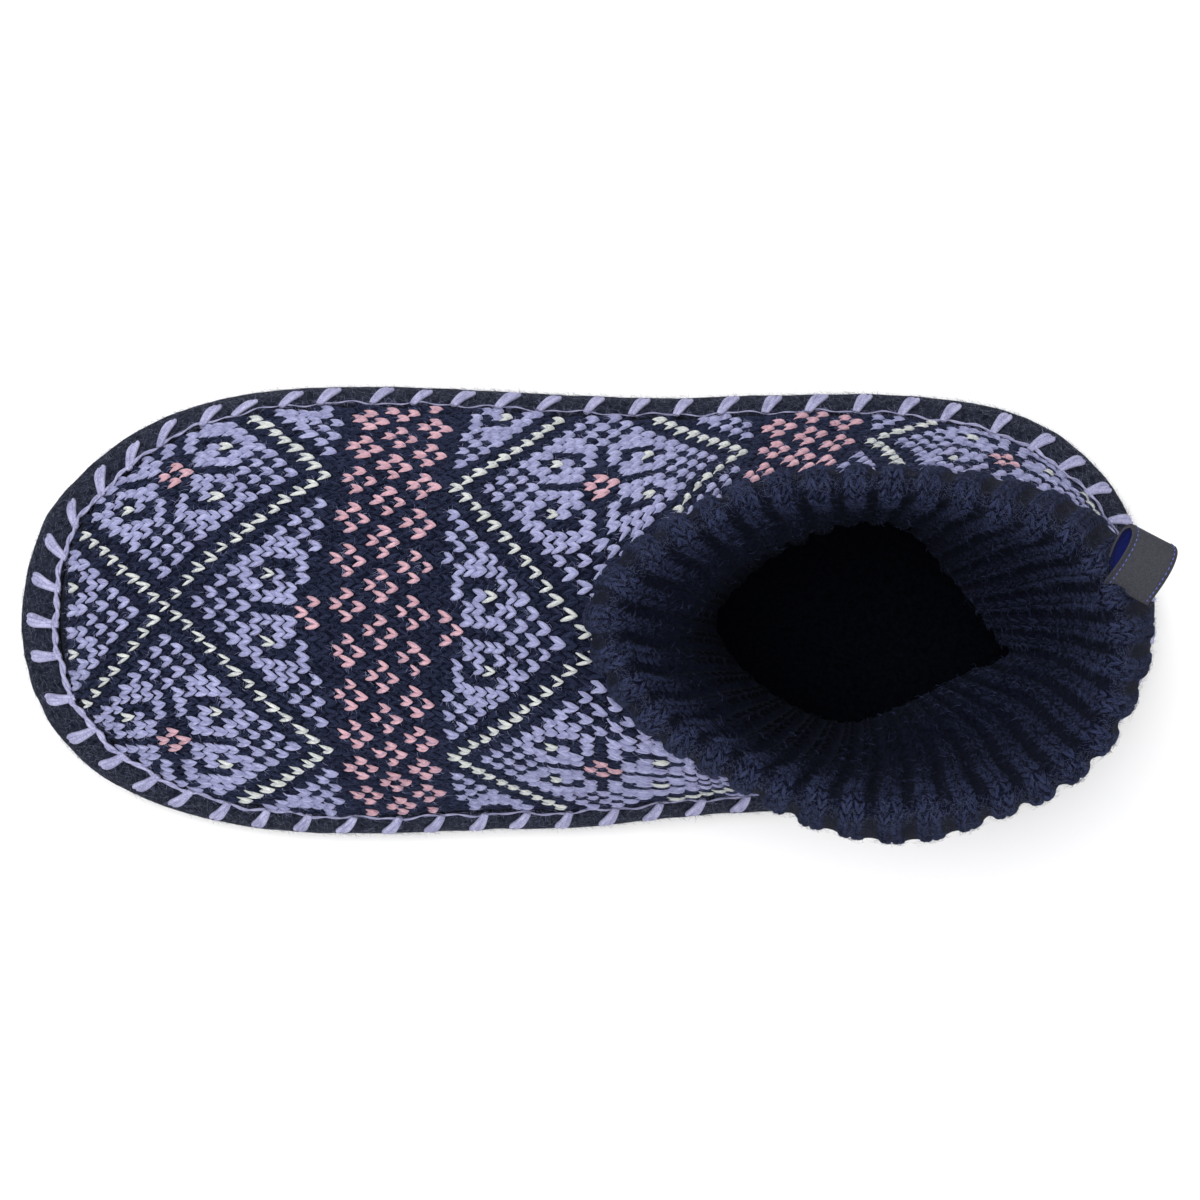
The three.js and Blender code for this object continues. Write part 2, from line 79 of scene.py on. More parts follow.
rng = np.random.default_rng(7)

# The outline's points: share of the length, share of the ball width, share of the band's reach
LATERAL = [
    (0.5, 0.0233, 1.0), (0.4944, 0.1318, 0.97), (0.4772, 0.2404, 0.93), (0.4436, 0.342, 0.88),
    (0.3984, 0.4118, 0.74), (0.3304, 0.4686, 0.57), (0.256, 0.4939, 0.5), (0.184, 0.498, 0.45),
    (0.0984, 0.4899, 0.45), (0.002, 0.4838, 0.45), (-0.0728, 0.4635, 0.45), (-0.1512, 0.4487, 0.45),
    (-0.24, 0.4523, 0.46), (-0.318, 0.4564, 0.48), (-0.38, 0.429, 0.5), (-0.432, 0.354, 0.5),
    (-0.47, 0.2434, 0.47), (-0.4928, 0.1237, 0.44), (-0.5, 0.002, 0.43),
]
MEDIAL = [
    (-0.4944, -0.1014, 0.46), (-0.4792, -0.2079, 0.58), (-0.454, -0.3083, 0.72), (-0.4196, -0.3874, 0.76),
    (-0.3736, -0.4462, 0.71), (-0.3164, -0.4746, 0.6), (-0.24, -0.4868, 0.5), (-0.148, -0.4828, 0.48),
    (-0.0624, -0.4777, 0.48), (0.002, -0.4828, 0.48), (0.118, -0.498, 0.46), (0.2264, -0.502, 0.46),
    (0.2968, -0.4888, 0.5), (0.3684, -0.4422, 0.62), (0.416, -0.3753, 0.76), (0.4436, -0.3164, 0.81),
    (0.4772, -0.216, 0.88), (0.4944, -0.0913, 0.95),
]
RIDGE = [
    (0.5, 0.0233, -0.06), (0.468, 0.014, 0.0), (0.444, 0.004, 0.2), (0.412, -0.008, 0.38), (0.36, -0.022, 0.5),
    (0.3, -0.014, 0.56), (0.22, 0.008, 0.612), (0.14, 0.032, 0.74), (0.06, 0.06, 0.9), (0.0, 0.077, 1.0),
]
RIDGE_POLE = 0.345
THROAT_RING = [
    (0.5, -0.02), (0.4, 0.24), (0.22, 0.43), (0.0, 0.5), (-0.25, 0.43), (-0.44, 0.25),
    (-0.53, 0.02), (-0.44, -0.24), (-0.23, -0.43), (0.0, -0.5), (0.24, -0.4), (0.42, -0.22),
]
CREST_RING = [
    (0.517, -0.075), (0.49, 0.09), (0.41, 0.255), (0.29, 0.365), (0.12, 0.482), (-0.08, 0.513), (-0.21, 0.48),
    (-0.33, 0.425), (-0.435, 0.29), (-0.478, 0.085), (-0.482, -0.06), (-0.435, -0.23), (-0.36, -0.34),
    (-0.26, -0.4), (-0.16, -0.455), (0.04, -0.48), (0.2, -0.455), (0.32, -0.38), (0.43, -0.27), (0.49, -0.17),
]
HEM_RING = [
    (0.493, -0.075), (0.474, 0.07), (0.42, 0.2), (0.31, 0.34), (0.16, 0.46), (0.03, 0.525), (-0.06, 0.54),
    (-0.15, 0.518), (-0.22, 0.47), (-0.345, 0.35), (-0.435, 0.22), (-0.485, 0.1), (-0.503, -0.02), (-0.49, -0.17),
    (-0.435, -0.3), (-0.34, -0.395), (-0.19, -0.45), (-0.02, -0.462), (0.15, -0.44), (0.3, -0.36),
    (0.42, -0.25), (0.478, -0.155),
]
SEAM_SLOPE = {
    "s": (0.0, 0.25, 0.45, 0.62, 0.8, 1.0),
    "lateral": (58, 57, 62, 80, 86, 87),
    "medial": (58, 55, 56, 57, 70, 87),
}
ANKLE_SLOPE = {
    "s": (0.5, 0.62, 0.8, 1.0),
    "lateral": (34, 66, 68, 70),
    "medial": (34, 60, 66, 70),
}
DOME_END = 0.2
INSTEP_END = 0.5
THROAT_START = 0.57
SIDES = ("lateral", "medial")


def clamp(v, a, b):
    return min(b, max(a, v))


def smooth(t):
    return t * t * (3 - 2 * t)


def table_at(table, name, at):
    keys = table["s"]
    i = 0
    while i < len(keys) - 2 and at > keys[i + 1]:
        i += 1
    t = clamp((at - keys[i]) / (keys[i + 1] - keys[i]), 0, 1)
    values = table[name]
    return values[i] + (values[i + 1] - values[i]) * smooth(t)


def through_points(points, closed, steps=12):
    """A smooth line through points, the same one that the solids are drawn with."""
    points = [np.array(p, float) for p in points]
    n = len(points)
    last = n if closed else n - 1

    def at(i):
        return points[i % n] if closed else points[clamp(i, 0, n - 1)]

    def gap(a, b):
        return max(math.sqrt(math.hypot(a[0] - b[0], a[1] - b[1])), 1e-4)

    line = []
    for i in range(last):
        p0, p1, p2, p3 = at(i - 1), at(i), at(i + 1), at(i + 2)
        d12 = gap(p1, p2)
        d01 = d12 if not closed and i == 0 else gap(p0, p1)
        d23 = d12 if not closed and i == last - 1 else gap(p2, p3)
        v1 = ((p1 - p0) / d01 - (p2 - p0) / (d01 + d12) + (p2 - p1) / d12) * d12
        v2 = ((p2 - p1) / d12 - (p3 - p1) / (d12 + d23) + (p3 - p2) / d23) * d12
        a = 2 * p1 - 2 * p2 + v1 + v2
        b = -3 * p1 + 3 * p2 - 2 * v1 - v2
        for k in range(steps):
            t = k / steps
            line.append(((a * t + b) * t + v1) * t + p1)
    line.append(points[0] if closed else points[-1])
    return np.array(line)


class Measured:
    """A line read at a share of its length in plan."""

    def __init__(self, line):
        self.line = line
        steps = np.hypot(*(line[1:, :2] - line[:-1, :2]).T)
        self.sums = np.concatenate([[0], np.cumsum(steps)])

    def __call__(self, share):
        want = np.clip(share, 0, 1) * self.sums[-1]
        return np.array([np.interp(want, self.sums, self.line[:, c]) for c in range(self.line.shape[1])]).T


OUTLINE_LINE = through_points([(x * FOOT_LENGTH, y * BALL_WIDTH, b * BAND_REACH) for x, y, b in LATERAL + MEDIAL], True)
HEEL_AT = (len(LATERAL) - 1) * 12
OUTLINE = {"lateral": Measured(OUTLINE_LINE[: HEEL_AT + 1]), "medial": Measured(OUTLINE_LINE[HEEL_AT:][::-1])}


def outline_at(side, s):
    p = OUTLINE[side](s)
    step = OUTLINE[side](min(s + 0.004, 1)) - OUTLINE[side](max(s - 0.004, 0))
    turn = 1 if side == "lateral" else -1
    inward = np.array([-turn * step[1], turn * step[0]])
    if s <= 0:
        inward = np.array([-1.0, 0.0])
    if s >= 1:
        inward = np.array([1.0, 0.0])
    inward /= np.hypot(*inward)
    return p[:2], p[2], inward


def lift(x):
    toe = clamp((x / FOOT_LENGTH - 0.29) / 0.21, 0, 1)
    waist = clamp(1 - abs(x / FOOT_LENGTH + 0.12) / 0.1, 0, 1)
    return TOE_SPRING * toe * toe + WAIST_LIFT * smooth(waist)


def inset_point(o, inset, z):
    xy = o[0] + o[2] * inset
    return np.array([xy[0], xy[1], z + lift(o[0][0])])


def ring_line(ring, length, width, back):
    line = through_points([(ANKLE[0] + x * length, ANKLE[1] + y * width) for x, y in ring], True)
    halves = {"lateral": Measured(line[: back * 12 + 1]), "medial": Measured(line[back * 12 :][::-1])}
    return Measured(line), halves


THROAT, THROAT_HALVES = ring_line(THROAT_RING, THROAT_LENGTH, THROAT_WIDTH, 6)
CREST, _ = ring_line(CREST_RING, CREST_LENGTH, CREST_WIDTH, 10)
HEM, _ = ring_line(HEM_RING, HEM_LENGTH, HEM_WIDTH, 12)


def outward_at(read, share):
    step = read((share + 0.01) % 1) - read((share - 0.01) % 1)
    out = np.array([step[1], -step[0]])
    return out / np.hypot(*out)


RISE = INSTEP_HEIGHT - SEAM_HEIGHT
RIDGE_LINE = through_points(
    [(x * FOOT_LENGTH, y * BALL_WIDTH, SEAM_HEIGHT + lift(x * FOOT_LENGTH) + h * RISE) for x, y, h in RIDGE], False
)
THROAT_FRONT = np.array([*THROAT(0), THROAT_HEIGHT])


def ridge_at(x):
    return np.array([np.interp(-x, -RIDGE_LINE[:, 0], RIDGE_LINE[:, c]) if c else x for c in range(3)])


def section_end(side, s):
    pole = RIDGE_POLE * FOOT_LENGTH
    if s <= INSTEP_END:
        x = pole if s <= DOME_END else pole * (1 - (s - DOME_END) / (INSTEP_END - DOME_END))
        a, b = ridge_at(x + 1), ridge_at(max(x - 1, 0))
        return ridge_at(x), (b[2] - a[2]) / 2, 0.0
    if s <= THROAT_START:
        t = (s - INSTEP_END) / (THROAT_START - INSTEP_END)
        start = ridge_at(0)
        return start + (THROAT_FRONT - start) * t, (THROAT_FRONT[2] - start[2]) / (start[0] - THROAT_FRONT[0]), 0.0
    t = (s - THROAT_START) / (1 - THROAT_START)
    return np.array([*THROAT_HALVES[side](t), THROAT_HEIGHT]), 0.0, t


def section_points(side, s):
    o = outline_at(side, s)
    start = inset_point(o, o[1] + CLEARANCE * 0.5, SEAM_HEIGHT + CLEARANCE)
    end, slope, along = section_end(side, s)
    rising = math.radians(table_at(SEAM_SLOPE, side, s))
    leave = np.array([o[2][0] * math.cos(rising), o[2][1] * math.cos(rising), math.sin(rising)])
    flat = end[:2] - start[:2]
    reach = np.hypot(*flat)
    arrive = np.array([flat[0] / reach, flat[1] / reach, -flat[0] / reach * slope])
    hold = 0.4
    if s > THROAT_START:
        leaning = math.radians(table_at(ANKLE_SLOPE, side, s))
        read = THROAT_HALVES[side]
        step = read(min(along + 0.01, 1)) - read(max(along - 0.01, 0))
        turn = 1 if side == "lateral" else -1
        inward = np.array([-turn * step[1], turn * step[0]]) / np.hypot(*step)
        if s >= 1:
            inward = np.array([1.0, 0.0])
        climb = np.array([*(inward * math.cos(leaning)), math.sin(leaning)])
        arrive = arrive + (climb - arrive) * smooth(clamp(along / 0.22, 0, 1))
        hold = 0.4 - 0.08 * smooth(clamp(along / 0.3, 0, 1))
    chord = math.hypot(reach, end[2] - start[2])
    arrive /= np.linalg.norm(arrive)
    return start, start + 0.4 * chord * leave, end - hold * chord * arrive, end


def upper_section(side, s, steps):
    start, own1, _, end = section_points(side, s)
    ease = smooth(clamp((s - 0.4) / 0.06, 0, 1)) * smooth(clamp((0.84 - s) / 0.12, 0, 1))
    mean, weight = np.zeros(3), 0
    for k in range(-6, 7):
        near = section_points(side, s + k * 0.014 * ease)
        w = 7 - abs(k)
        mean += w * (near[2] - near[3])
        weight += w
        if ease == 0:
            break
    p2 = end + mean / weight
    t = np.linspace(0, 1, steps + 1)[:, None]
    return (1 - t) ** 3 * start + 3 * t * (1 - t) ** 2 * own1 + 3 * t * t * (1 - t) * p2 + t**3 * end


STATIONS, STEPS = 220, 44
SKIN = {side: np.array([upper_section(side, i / STATIONS, STEPS) for i in range(STATIONS + 1)]) for side in SIDES}


def grid_normals(grid, flip):
    """Normals of a grid of points, from its neighbours on both ways."""
    du = np.gradient(grid, axis=0)
    dv = np.gradient(grid, axis=1)
    n = np.cross(du, dv)
    size = np.linalg.norm(n, axis=-1, keepdims=True)
    n = n / np.maximum(size, 1e-9)
    return -n if flip else n


# Materials: all procedural


def shader(name, base, rough=0.95, sheen=0.25, sheen_tint=(0.6, 0.65, 0.8), sheen_rough=0.5, shine=0.03):
    m = bpy.data.materials.new(name)
    m.use_nodes = True
    n = m.node_tree.nodes
    b = n["Principled BSDF"]
    b.inputs["Base Color"].default_value = (*base, 1)
    b.inputs["Roughness"].default_value = rough
    b.inputs["Specular IOR Level"].default_value = shine
    b.inputs["Sheen Weight"].default_value = sheen
    b.inputs["Sheen Roughness"].default_value = sheen_rough
    b.inputs["Sheen Tint"].default_value = (*sheen_tint, 1)
    return m, n, m.node_tree.links, b


def ramp_between(n, links, source, low, high, start=0.3, stop=0.7):
    r = n.new("ShaderNodeValToRGB")
    r.color_ramp.elements[0].position = start
    r.color_ramp.elements[0].color = (*low, 1)
    r.color_ramp.elements[1].position = stop
    r.color_ramp.elements[1].color = (*high, 1)
    links.new(source, r.inputs["Fac"])
    return r.outputs["Color"]


def dim_by_painted_shade(n, links, colour):
    """A colour dimmed by the painted shade stored on the piece's points."""
    own = n.new("ShaderNodeAttribute")
    own.attribute_name = "shade"
    mix = n.new("ShaderNodeMix")
    mix.data_type = "RGBA"
    mix.blend_type = "MULTIPLY"
    mix.inputs["Factor"].default_value = 1
    links.new(colour, mix.inputs["A"])
    links.new(own.outputs["Color"], mix.inputs["B"])
    return mix.outputs["Result"]


def yarn(name, low, high, sheen=0.3, tint=(0.7, 0.72, 0.85), with_painted_shade=False):
    """Spun wool: streaks run along the yarn, and each stitch has its own shade."""
    m, n, links, b = shader(name, high, sheen=sheen, sheen_tint=tint)
    uv = n.new("ShaderNodeUVMap")
    uv.uv_map = "run"
    streak = n.new("ShaderNodeTexNoise")
    streak.inputs["Scale"].default_value = 2.4
    streak.inputs["Detail"].default_value = 4
    streak.inputs["Roughness"].default_value = 0.72
    links.new(uv.outputs["UV"], streak.inputs["Vector"])
    shade = n.new("ShaderNodeTexNoise")
    shade.inputs["Scale"].default_value = 0.3
    shade.inputs["Detail"].default_value = 0
    links.new(uv.outputs["UV"], shade.inputs["Vector"])
    mixed = n.new("ShaderNodeMath")
    mixed.operation = "MULTIPLY_ADD"
    links.new(shade.outputs["Fac"], mixed.inputs[0])
    mixed.inputs[1].default_value = 0.35
    links.new(streak.outputs["Fac"], mixed.inputs[2])
    colour = ramp_between(n, links, mixed.outputs["Value"], low, high, 0.5, 0.85)
    # The colour can also be dimmed by painted shade stored on the piece's points (the rib's wool only).
    links.new(dim_by_painted_shade(n, links, colour) if with_painted_shade else colour, b.inputs["Base Color"])
    bump = n.new("ShaderNodeBump")
    bump.inputs["Strength"].default_value = 0.8
    bump.inputs["Distance"].default_value = 0.0002
    links.new(streak.outputs["Fac"], bump.inputs["Height"])
    links.new(bump.outputs["Normal"], b.inputs["Normal"])
    return m


def cloth(name, low, high, scale, bump_mm, sheen=0.3, tint=(0.6, 0.65, 0.8), stretch=(1, 1, 1)):
    """Felt or brushed knit: fine noise in the object's own space."""
    m, n, links, b = shader(name, high, sheen=sheen, sheen_tint=tint)
    co = n.new("ShaderNodeTexCoord")
    mapping = n.new("ShaderNodeMapping")
    mapping.inputs["Scale"].default_value = stretch
    links.new(co.outputs["Object"], mapping.inputs["Vector"])
    fine = n.new("ShaderNodeTexNoise")
    fine.inputs["Scale"].default_value = scale
    fine.inputs["Detail"].default_value = 6
    fine.inputs["Roughness"].default_value = 0.7
    links.new(mapping.outputs["Vector"], fine.inputs["Vector"])
    links.new(ramp_between(n, links, fine.outputs["Fac"], low, high, 0.35, 0.68), b.inputs["Base Color"])
    bump = n.new("ShaderNodeBump")
    bump.inputs["Strength"].default_value = 0.8
    bump.inputs["Distance"].default_value = bump_mm / 1000
    links.new(fine.outputs["Fac"], bump.inputs["Height"])
    links.new(bump.outputs["Normal"], b.inputs["Normal"])
    return m


NAVY = yarn("navy_yarn", (0.001, 0.002, 0.007), (0.024, 0.03, 0.066), 0.05, (0.45, 0.5, 0.7))
LAVENDER = yarn("lavender_yarn", (0.18, 0.185, 0.33), (0.405, 0.415, 0.63), 0.15, (0.8, 0.8, 1.0))
EDGING = yarn("edging_yarn", (0.18, 0.18, 0.31), (0.45, 0.445, 0.64), 0.15, (0.85, 0.85, 1.0))
WHITE = yarn("white_yarn", (0.42, 0.44, 0.425), (0.69, 0.71, 0.69), 0.1, (1, 1, 1))
PINK = yarn("pink_yarn", (0.4, 0.22, 0.26), (0.67, 0.43, 0.49), 0.1, (1, 0.85, 0.9))
# The rib's wool is dimmed by painted shade on its points.
RIB = yarn("rib_yarn", (0.001, 0.002, 0.007), (0.033, 0.041, 0.094), 0.02, (0.5, 0.58, 0.8), True)
# The knit backing is its own navy, painted darker to stand for the shade in the gaps between stitches.
BACKING = cloth("knit_backing", (0.002, 0.003, 0.008), (0.008, 0.01, 0.023), 900, 0.3, 0.03)
RIB_BACKING = cloth("rib_backing", (0.001, 0.001, 0.004), (0.006, 0.008, 0.02), 900, 0.5, 0.02, (0.5, 0.58, 0.8))
FELT = cloth("sole_felt", (0.002, 0.003, 0.007), (0.028, 0.032, 0.053), 950, 0.7, 0.03, (0.55, 0.6, 0.75))
# The insole is painted near black: painted shade for the dark inside of the shoe.
PAINTED_DARK_INSOLE = cloth("insole_felt", (0.001, 0.0013, 0.003), (0.004, 0.005, 0.009), 1100, 0.3, 0.02)
TAPE = cloth("tape", (0.03, 0.03, 0.037), (0.05, 0.05, 0.06), 2500, 0.1, 0.05, stretch=(1, 1, 0.3))
TAPE_BACK = cloth("tape_back", (0.005, 0.008, 0.07), (0.012, 0.018, 0.13), 2500, 0.1, 0.05)
LIGHT_FUZZ, _, _, _ = shader("light_fuzz", (0.22, 0.23, 0.37), sheen=0.1)
DARK_FUZZ, _, _, _ = shader("dark_fuzz", (0.042, 0.05, 0.098), sheen=0.1)
RIB_FUZZ, _, _, _ = shader("rib_fuzz", (0.042, 0.052, 0.112), sheen=0.02)
RIM_FUZZ, _, _, _ = shader("rim_fuzz", (0.05, 0.06, 0.105), sheen=0.02)
SEWING, _, _, _ = shader("sewing", (0.08, 0.1, 0.3), sheen=0.1)
FELT_FUZZ, _, _, _ = shader("felt_fuzz", (0.1, 0.11, 0.155), sheen=0.05)


def build(name, points, faces, material, uv=None, soft=True):
    mesh = bpy.data.meshes.new(name)
    points = np.asarray(points, float).reshape(-1, 3) / 1000
    faces = np.asarray(faces, int)
    mesh.from_pydata(points.tolist(), [], faces.tolist())
    if soft:
        mesh.polygons.foreach_set("use_smooth", np.ones(len(mesh.polygons), bool))
    if uv is not None:
        layer = mesh.uv_layers.new(name="run")
        loops = np.empty(len(mesh.loops), int)
        mesh.loops.foreach_get("vertex_index", loops)
        layer.data.foreach_set("uv", np.asarray(uv, float).reshape(-1, 2)[loops].ravel())
    mesh.materials.append(material)
    mesh.update()
    made = bpy.data.objects.new(name, mesh)
    bpy.context.scene.collection.objects.link(made)
    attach(made, "root")
    return made


def paint_shade(made, values):
    """One number for each point: painted shade, which dims the wool's colour."""
    made.data.attributes.new("shade", "FLOAT", "POINT").data.foreach_set("value", np.asarray(values, float))


def sheet_faces(rows, cols, closed_rows=False, closed_cols=False, flip=False):
    """Quads of a grid of rows x cols points."""
    i = np.arange(rows if closed_rows else rows - 1)[:, None]
    j = np.arange(cols if closed_cols else cols - 1)[None, :]
    i2, j2 = (i + 1) % rows, (j + 1) % cols
    quads = np.stack(np.broadcast_arrays(i * cols + j, i2 * cols + j, i2 * cols + j2, i * cols + j2), -1).reshape(-1, 4)
    return quads[:, ::-1] if flip else quads


def join(parts):
    """Several point and face lists as one."""
    points, faces, at = [], [], 0
    for p, f in parts:
        p = np.asarray(p, float).reshape(-1, 3)
        points.append(p)
        faces.append(np.asarray(f) + at)
        at += len(p)
    return np.concatenate(points), np.concatenate(faces)


# Sole: felt tray with its turned-up band


def band_curve(band, t, out=0.0):
    end = math.radians(40)
    inset = band * (1 - math.cos(end * t)) / (1 - math.cos(end))
    z = WIDEST_HEIGHT + (SEAM_HEIGHT - WIDEST_HEIGHT) * math.sin(end * t) / math.sin(end)
    di = band * math.sin(end * t) / (1 - math.cos(end))
    dz = (SEAM_HEIGHT - WIDEST_HEIGHT) * math.cos(end * t) / math.sin(end)
    size = math.hypot(di, dz)
    return inset - out * dz / size, z + out * di / size


def sole_section(band):
    outer = [(SOLE_ROUNDING, 0.0), (SOLE_ROUNDING * 0.75, 0.03), (SOLE_ROUNDING * 0.5, WIDEST_HEIGHT * 0.05)]
    outer += [(SOLE_ROUNDING * 0.34, WIDEST_HEIGHT * 0.14), (SOLE_ROUNDING * 0.2, WIDEST_HEIGHT * 0.3)]
    outer += [(SOLE_ROUNDING * 0.09, WIDEST_HEIGHT * 0.54), (SOLE_ROUNDING * 0.025, WIDEST_HEIGHT * 0.8)]
    ts = np.linspace(0, 1, 10)
    side = [band_curve(band, t) for t in ts]
    inner = [band_curve(band, t, -SOLE_WALL) for t in ts[::-1]]
    floor = [(SOLE_WALL + 0.2 * SOLE_ROUNDING, SOLE_FLOOR + 0.24), (SOLE_WALL + 0.6 * SOLE_ROUNDING, SOLE_FLOOR)]
    return outer + side + inner + floor


def spine_point(s, z):
    x = clamp((OUTLINE["lateral"](s)[0] + OUTLINE["medial"](s)[0]) / 2, -0.33 * FOOT_LENGTH, 0.33 * FOOT_LENGTH)
    return np.array([x, 0, z + lift(x)])


def fibre_noise(points, size, seed):
    """A soft, repeatable unevenness at each point."""
    gen = np.random.default_rng(seed)
    total = np.zeros(len(points))
    for _ in range(14):
        k = gen.normal(size=3)
        k *= gen.uniform(0.6, 1.8) / (np.linalg.norm(k) * size)
        total += np.sin(points @ k * 2 * math.pi + gen.uniform(0, 6.28))
    return total / 14 * 1.6


def tray(section_of, bottom_z, top_z, count, name, material, rough=0.0):
    parts = []
    for side in SIDES:
        rows = []
        for i in range(count + 1):
            s = i / count
            o = outline_at(side, s)
            rows.append([spine_point(s, bottom_z), *[inset_point(o, d, z) for d, z in section_of(o[1])], spine_point(s, top_z)])
        grid = np.array(rows)
        parts.append((grid.reshape(-1, 3), sheet_faces(grid.shape[0], grid.shape[1], flip=side == "lateral")))
    points, faces = join(parts)
    made = build(name, points, faces, material)
    weld(made)
    if rough:
        shift_out(made, rough)
    return made


def weld(made, distance=2e-6):
    import bmesh

    bm = bmesh.new()
    bm.from_mesh(made.data)
    bmesh.ops.remove_doubles(bm, verts=bm.verts, dist=distance)
    bmesh.ops.dissolve_degenerate(bm, dist=distance / 2, edges=bm.edges)
    bmesh.ops.recalc_face_normals(bm, faces=bm.faces)
    bm.to_mesh(made.data)
    bm.free()


def shift_out(made, amount):
    mesh = made.data
    n = len(mesh.vertices)
    co, no = np.empty(n * 3), np.empty(n * 3)
    mesh.vertices.foreach_get("co", co)
    mesh.vertices.foreach_get("normal", no)
    co, no = co.reshape(-1, 3), no.reshape(-1, 3)
    wave = fibre_noise(co * 1000, 9, 3) * amount + fibre_noise(co * 1000, 2.6, 4) * amount * 0.35
    keep = np.clip(co[:, 2] * 1000 / 1.2, 0, 1)
    mesh.vertices.foreach_set("co", (co + no * (wave * keep)[:, None] / 1000).ravel())
    mesh.update()


sole = tray(sole_section, 0.0, SOLE_FLOOR, 200, "felt_tray", FELT, rough=0.22)
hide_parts("sole")


def insole_section(_):
    bottom = SOLE_FLOOR + CLEARANCE
    top = bottom + INSOLE_THICKNESS
    return [
        (INSOLE_INSET, bottom), (INSOLE_INSET, bottom + 0.6 * INSOLE_THICKNESS),
        (INSOLE_INSET + 0.12 * INSOLE_THICKNESS, top - 0.18 * INSOLE_THICKNESS),
        (INSOLE_INSET + 0.4 * INSOLE_THICKNESS, top),
    ]


insole = tray(insole_section, SOLE_FLOOR + CLEARANCE, SOLE_FLOOR + CLEARANCE + INSOLE_THICKNESS, 120, "felt_insole", PAINTED_DARK_INSOLE)
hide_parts("insole")


# Upper: the knit behind the stitches, painted dark for the shade between them, with its real wall


def thick_sheet(grids, flips, out, wall, name, material, level=None):
    """Grids that meet along their edges, as one wall."""
    parts = []
    for grid, flip in zip(grids, flips):
        parts.append((grid.reshape(-1, 3), sheet_faces(grid.shape[0], grid.shape[1], flip=flip)))
    points, faces = join(parts)
    key = np.round(points * 200).astype(np.int64)
    _, first, inverse = np.unique(key, axis=0, return_index=True, return_inverse=True)
    inverse = inverse.reshape(-1)
    points, faces = points[first], inverse[faces]
    tris = np.concatenate([faces[:, [0, 1, 2]], faces[:, [0, 2, 3]]])
    tris = tris[(tris[:, 0] != tris[:, 1]) & (tris[:, 1] != tris[:, 2]) & (tris[:, 0] != tris[:, 2])]
    flat = np.cross(points[tris[:, 1]] - points[tris[:, 0]], points[tris[:, 2]] - points[tris[:, 0]])
    normals = np.zeros_like(points)
    for c in range(3):
        np.add.at(normals, tris[:, c], flat)
    normals /= np.maximum(np.linalg.norm(normals, axis=1, keepdims=True), 1e-9)
    outer, inner = points + normals * out, points - normals * wall
    if level:
        outer[:, 2] = np.minimum(outer[:, 2], level)
        inner[:, 2] = np.minimum(inner[:, 2], level)
    n = len(points)
    edges = {}
    for a, b, c in tris:
        for e in ((a, b), (b, c), (c, a)):
            edges[e] = edges.get(e, 0) + 1
    rim = [(b, a, a + n, b + n) for (a, b) in edges if (b, a) not in edges]
    mesh_faces = tris.tolist() + (tris[:, ::-1] + n).tolist() + rim
    mesh = bpy.data.meshes.new(name)
    mesh.from_pydata((np.concatenate([outer, inner]) / 1000).tolist(), [], mesh_faces)
    mesh.polygons.foreach_set("use_smooth", np.ones(len(mesh.polygons), bool))
    mesh.materials.append(material)
    made = bpy.data.objects.new(name, mesh)
    bpy.context.scene.collection.objects.link(made)
    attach(made, "root")
    return made


backing = thick_sheet(
    [SKIN[side][::2, ::2] for side in SIDES], [False, True], -0.75, KNIT_WALL, "knit_backing", BACKING, THROAT_HEIGHT
)
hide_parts("upper")


# Knitting: rows run across the foot and columns along it, both counted from the first crossing on the ridge

ROWS_TO_INSTEP = 38
ROW_PITCH_WALL = 2.4
TOE_ROW_PITCH = 2.4
COLUMN_PITCH = 2.48
# At the ankle the columns widen from the seam up
ANKLE_COLUMN = 2.25
ANKLE_GROWTH = 0.021
# How far the rows sag toward the heel 30 mm beside the ridge, at places along the foot
BOW_AT = ([0, 34, 60, 91], {"lateral": [2.4, 1.9, 2.7, 1.1], "medial": [1.4, 2.2, 2.3, 1.5]})


def ridge_rows():
    """Row number at each x of the ridge: even steps along its length."""
    x = np.linspace(FOOT_LENGTH * 0.468, 0, 400)
    p = np.array([ridge_at(v) for v in x])
    arc = np.concatenate([[0], np.cumsum(np.linalg.norm(p[1:] - p[:-1], axis=1))])
    at = np.interp(-91.6, -x, arc)
    pitch = (arc[-1] - at) / ROWS_TO_INSTEP
    rows = (arc - at) / pitch
    rows = np.where(x > 91.6, (91.6 - x) / TOE_ROW_PITCH, rows)
    return np.append(x, -100.0), np.append(rows, rows[-1] + 100 / 2.7)


RIDGE_X, RIDGE_ROW = ridge_rows()


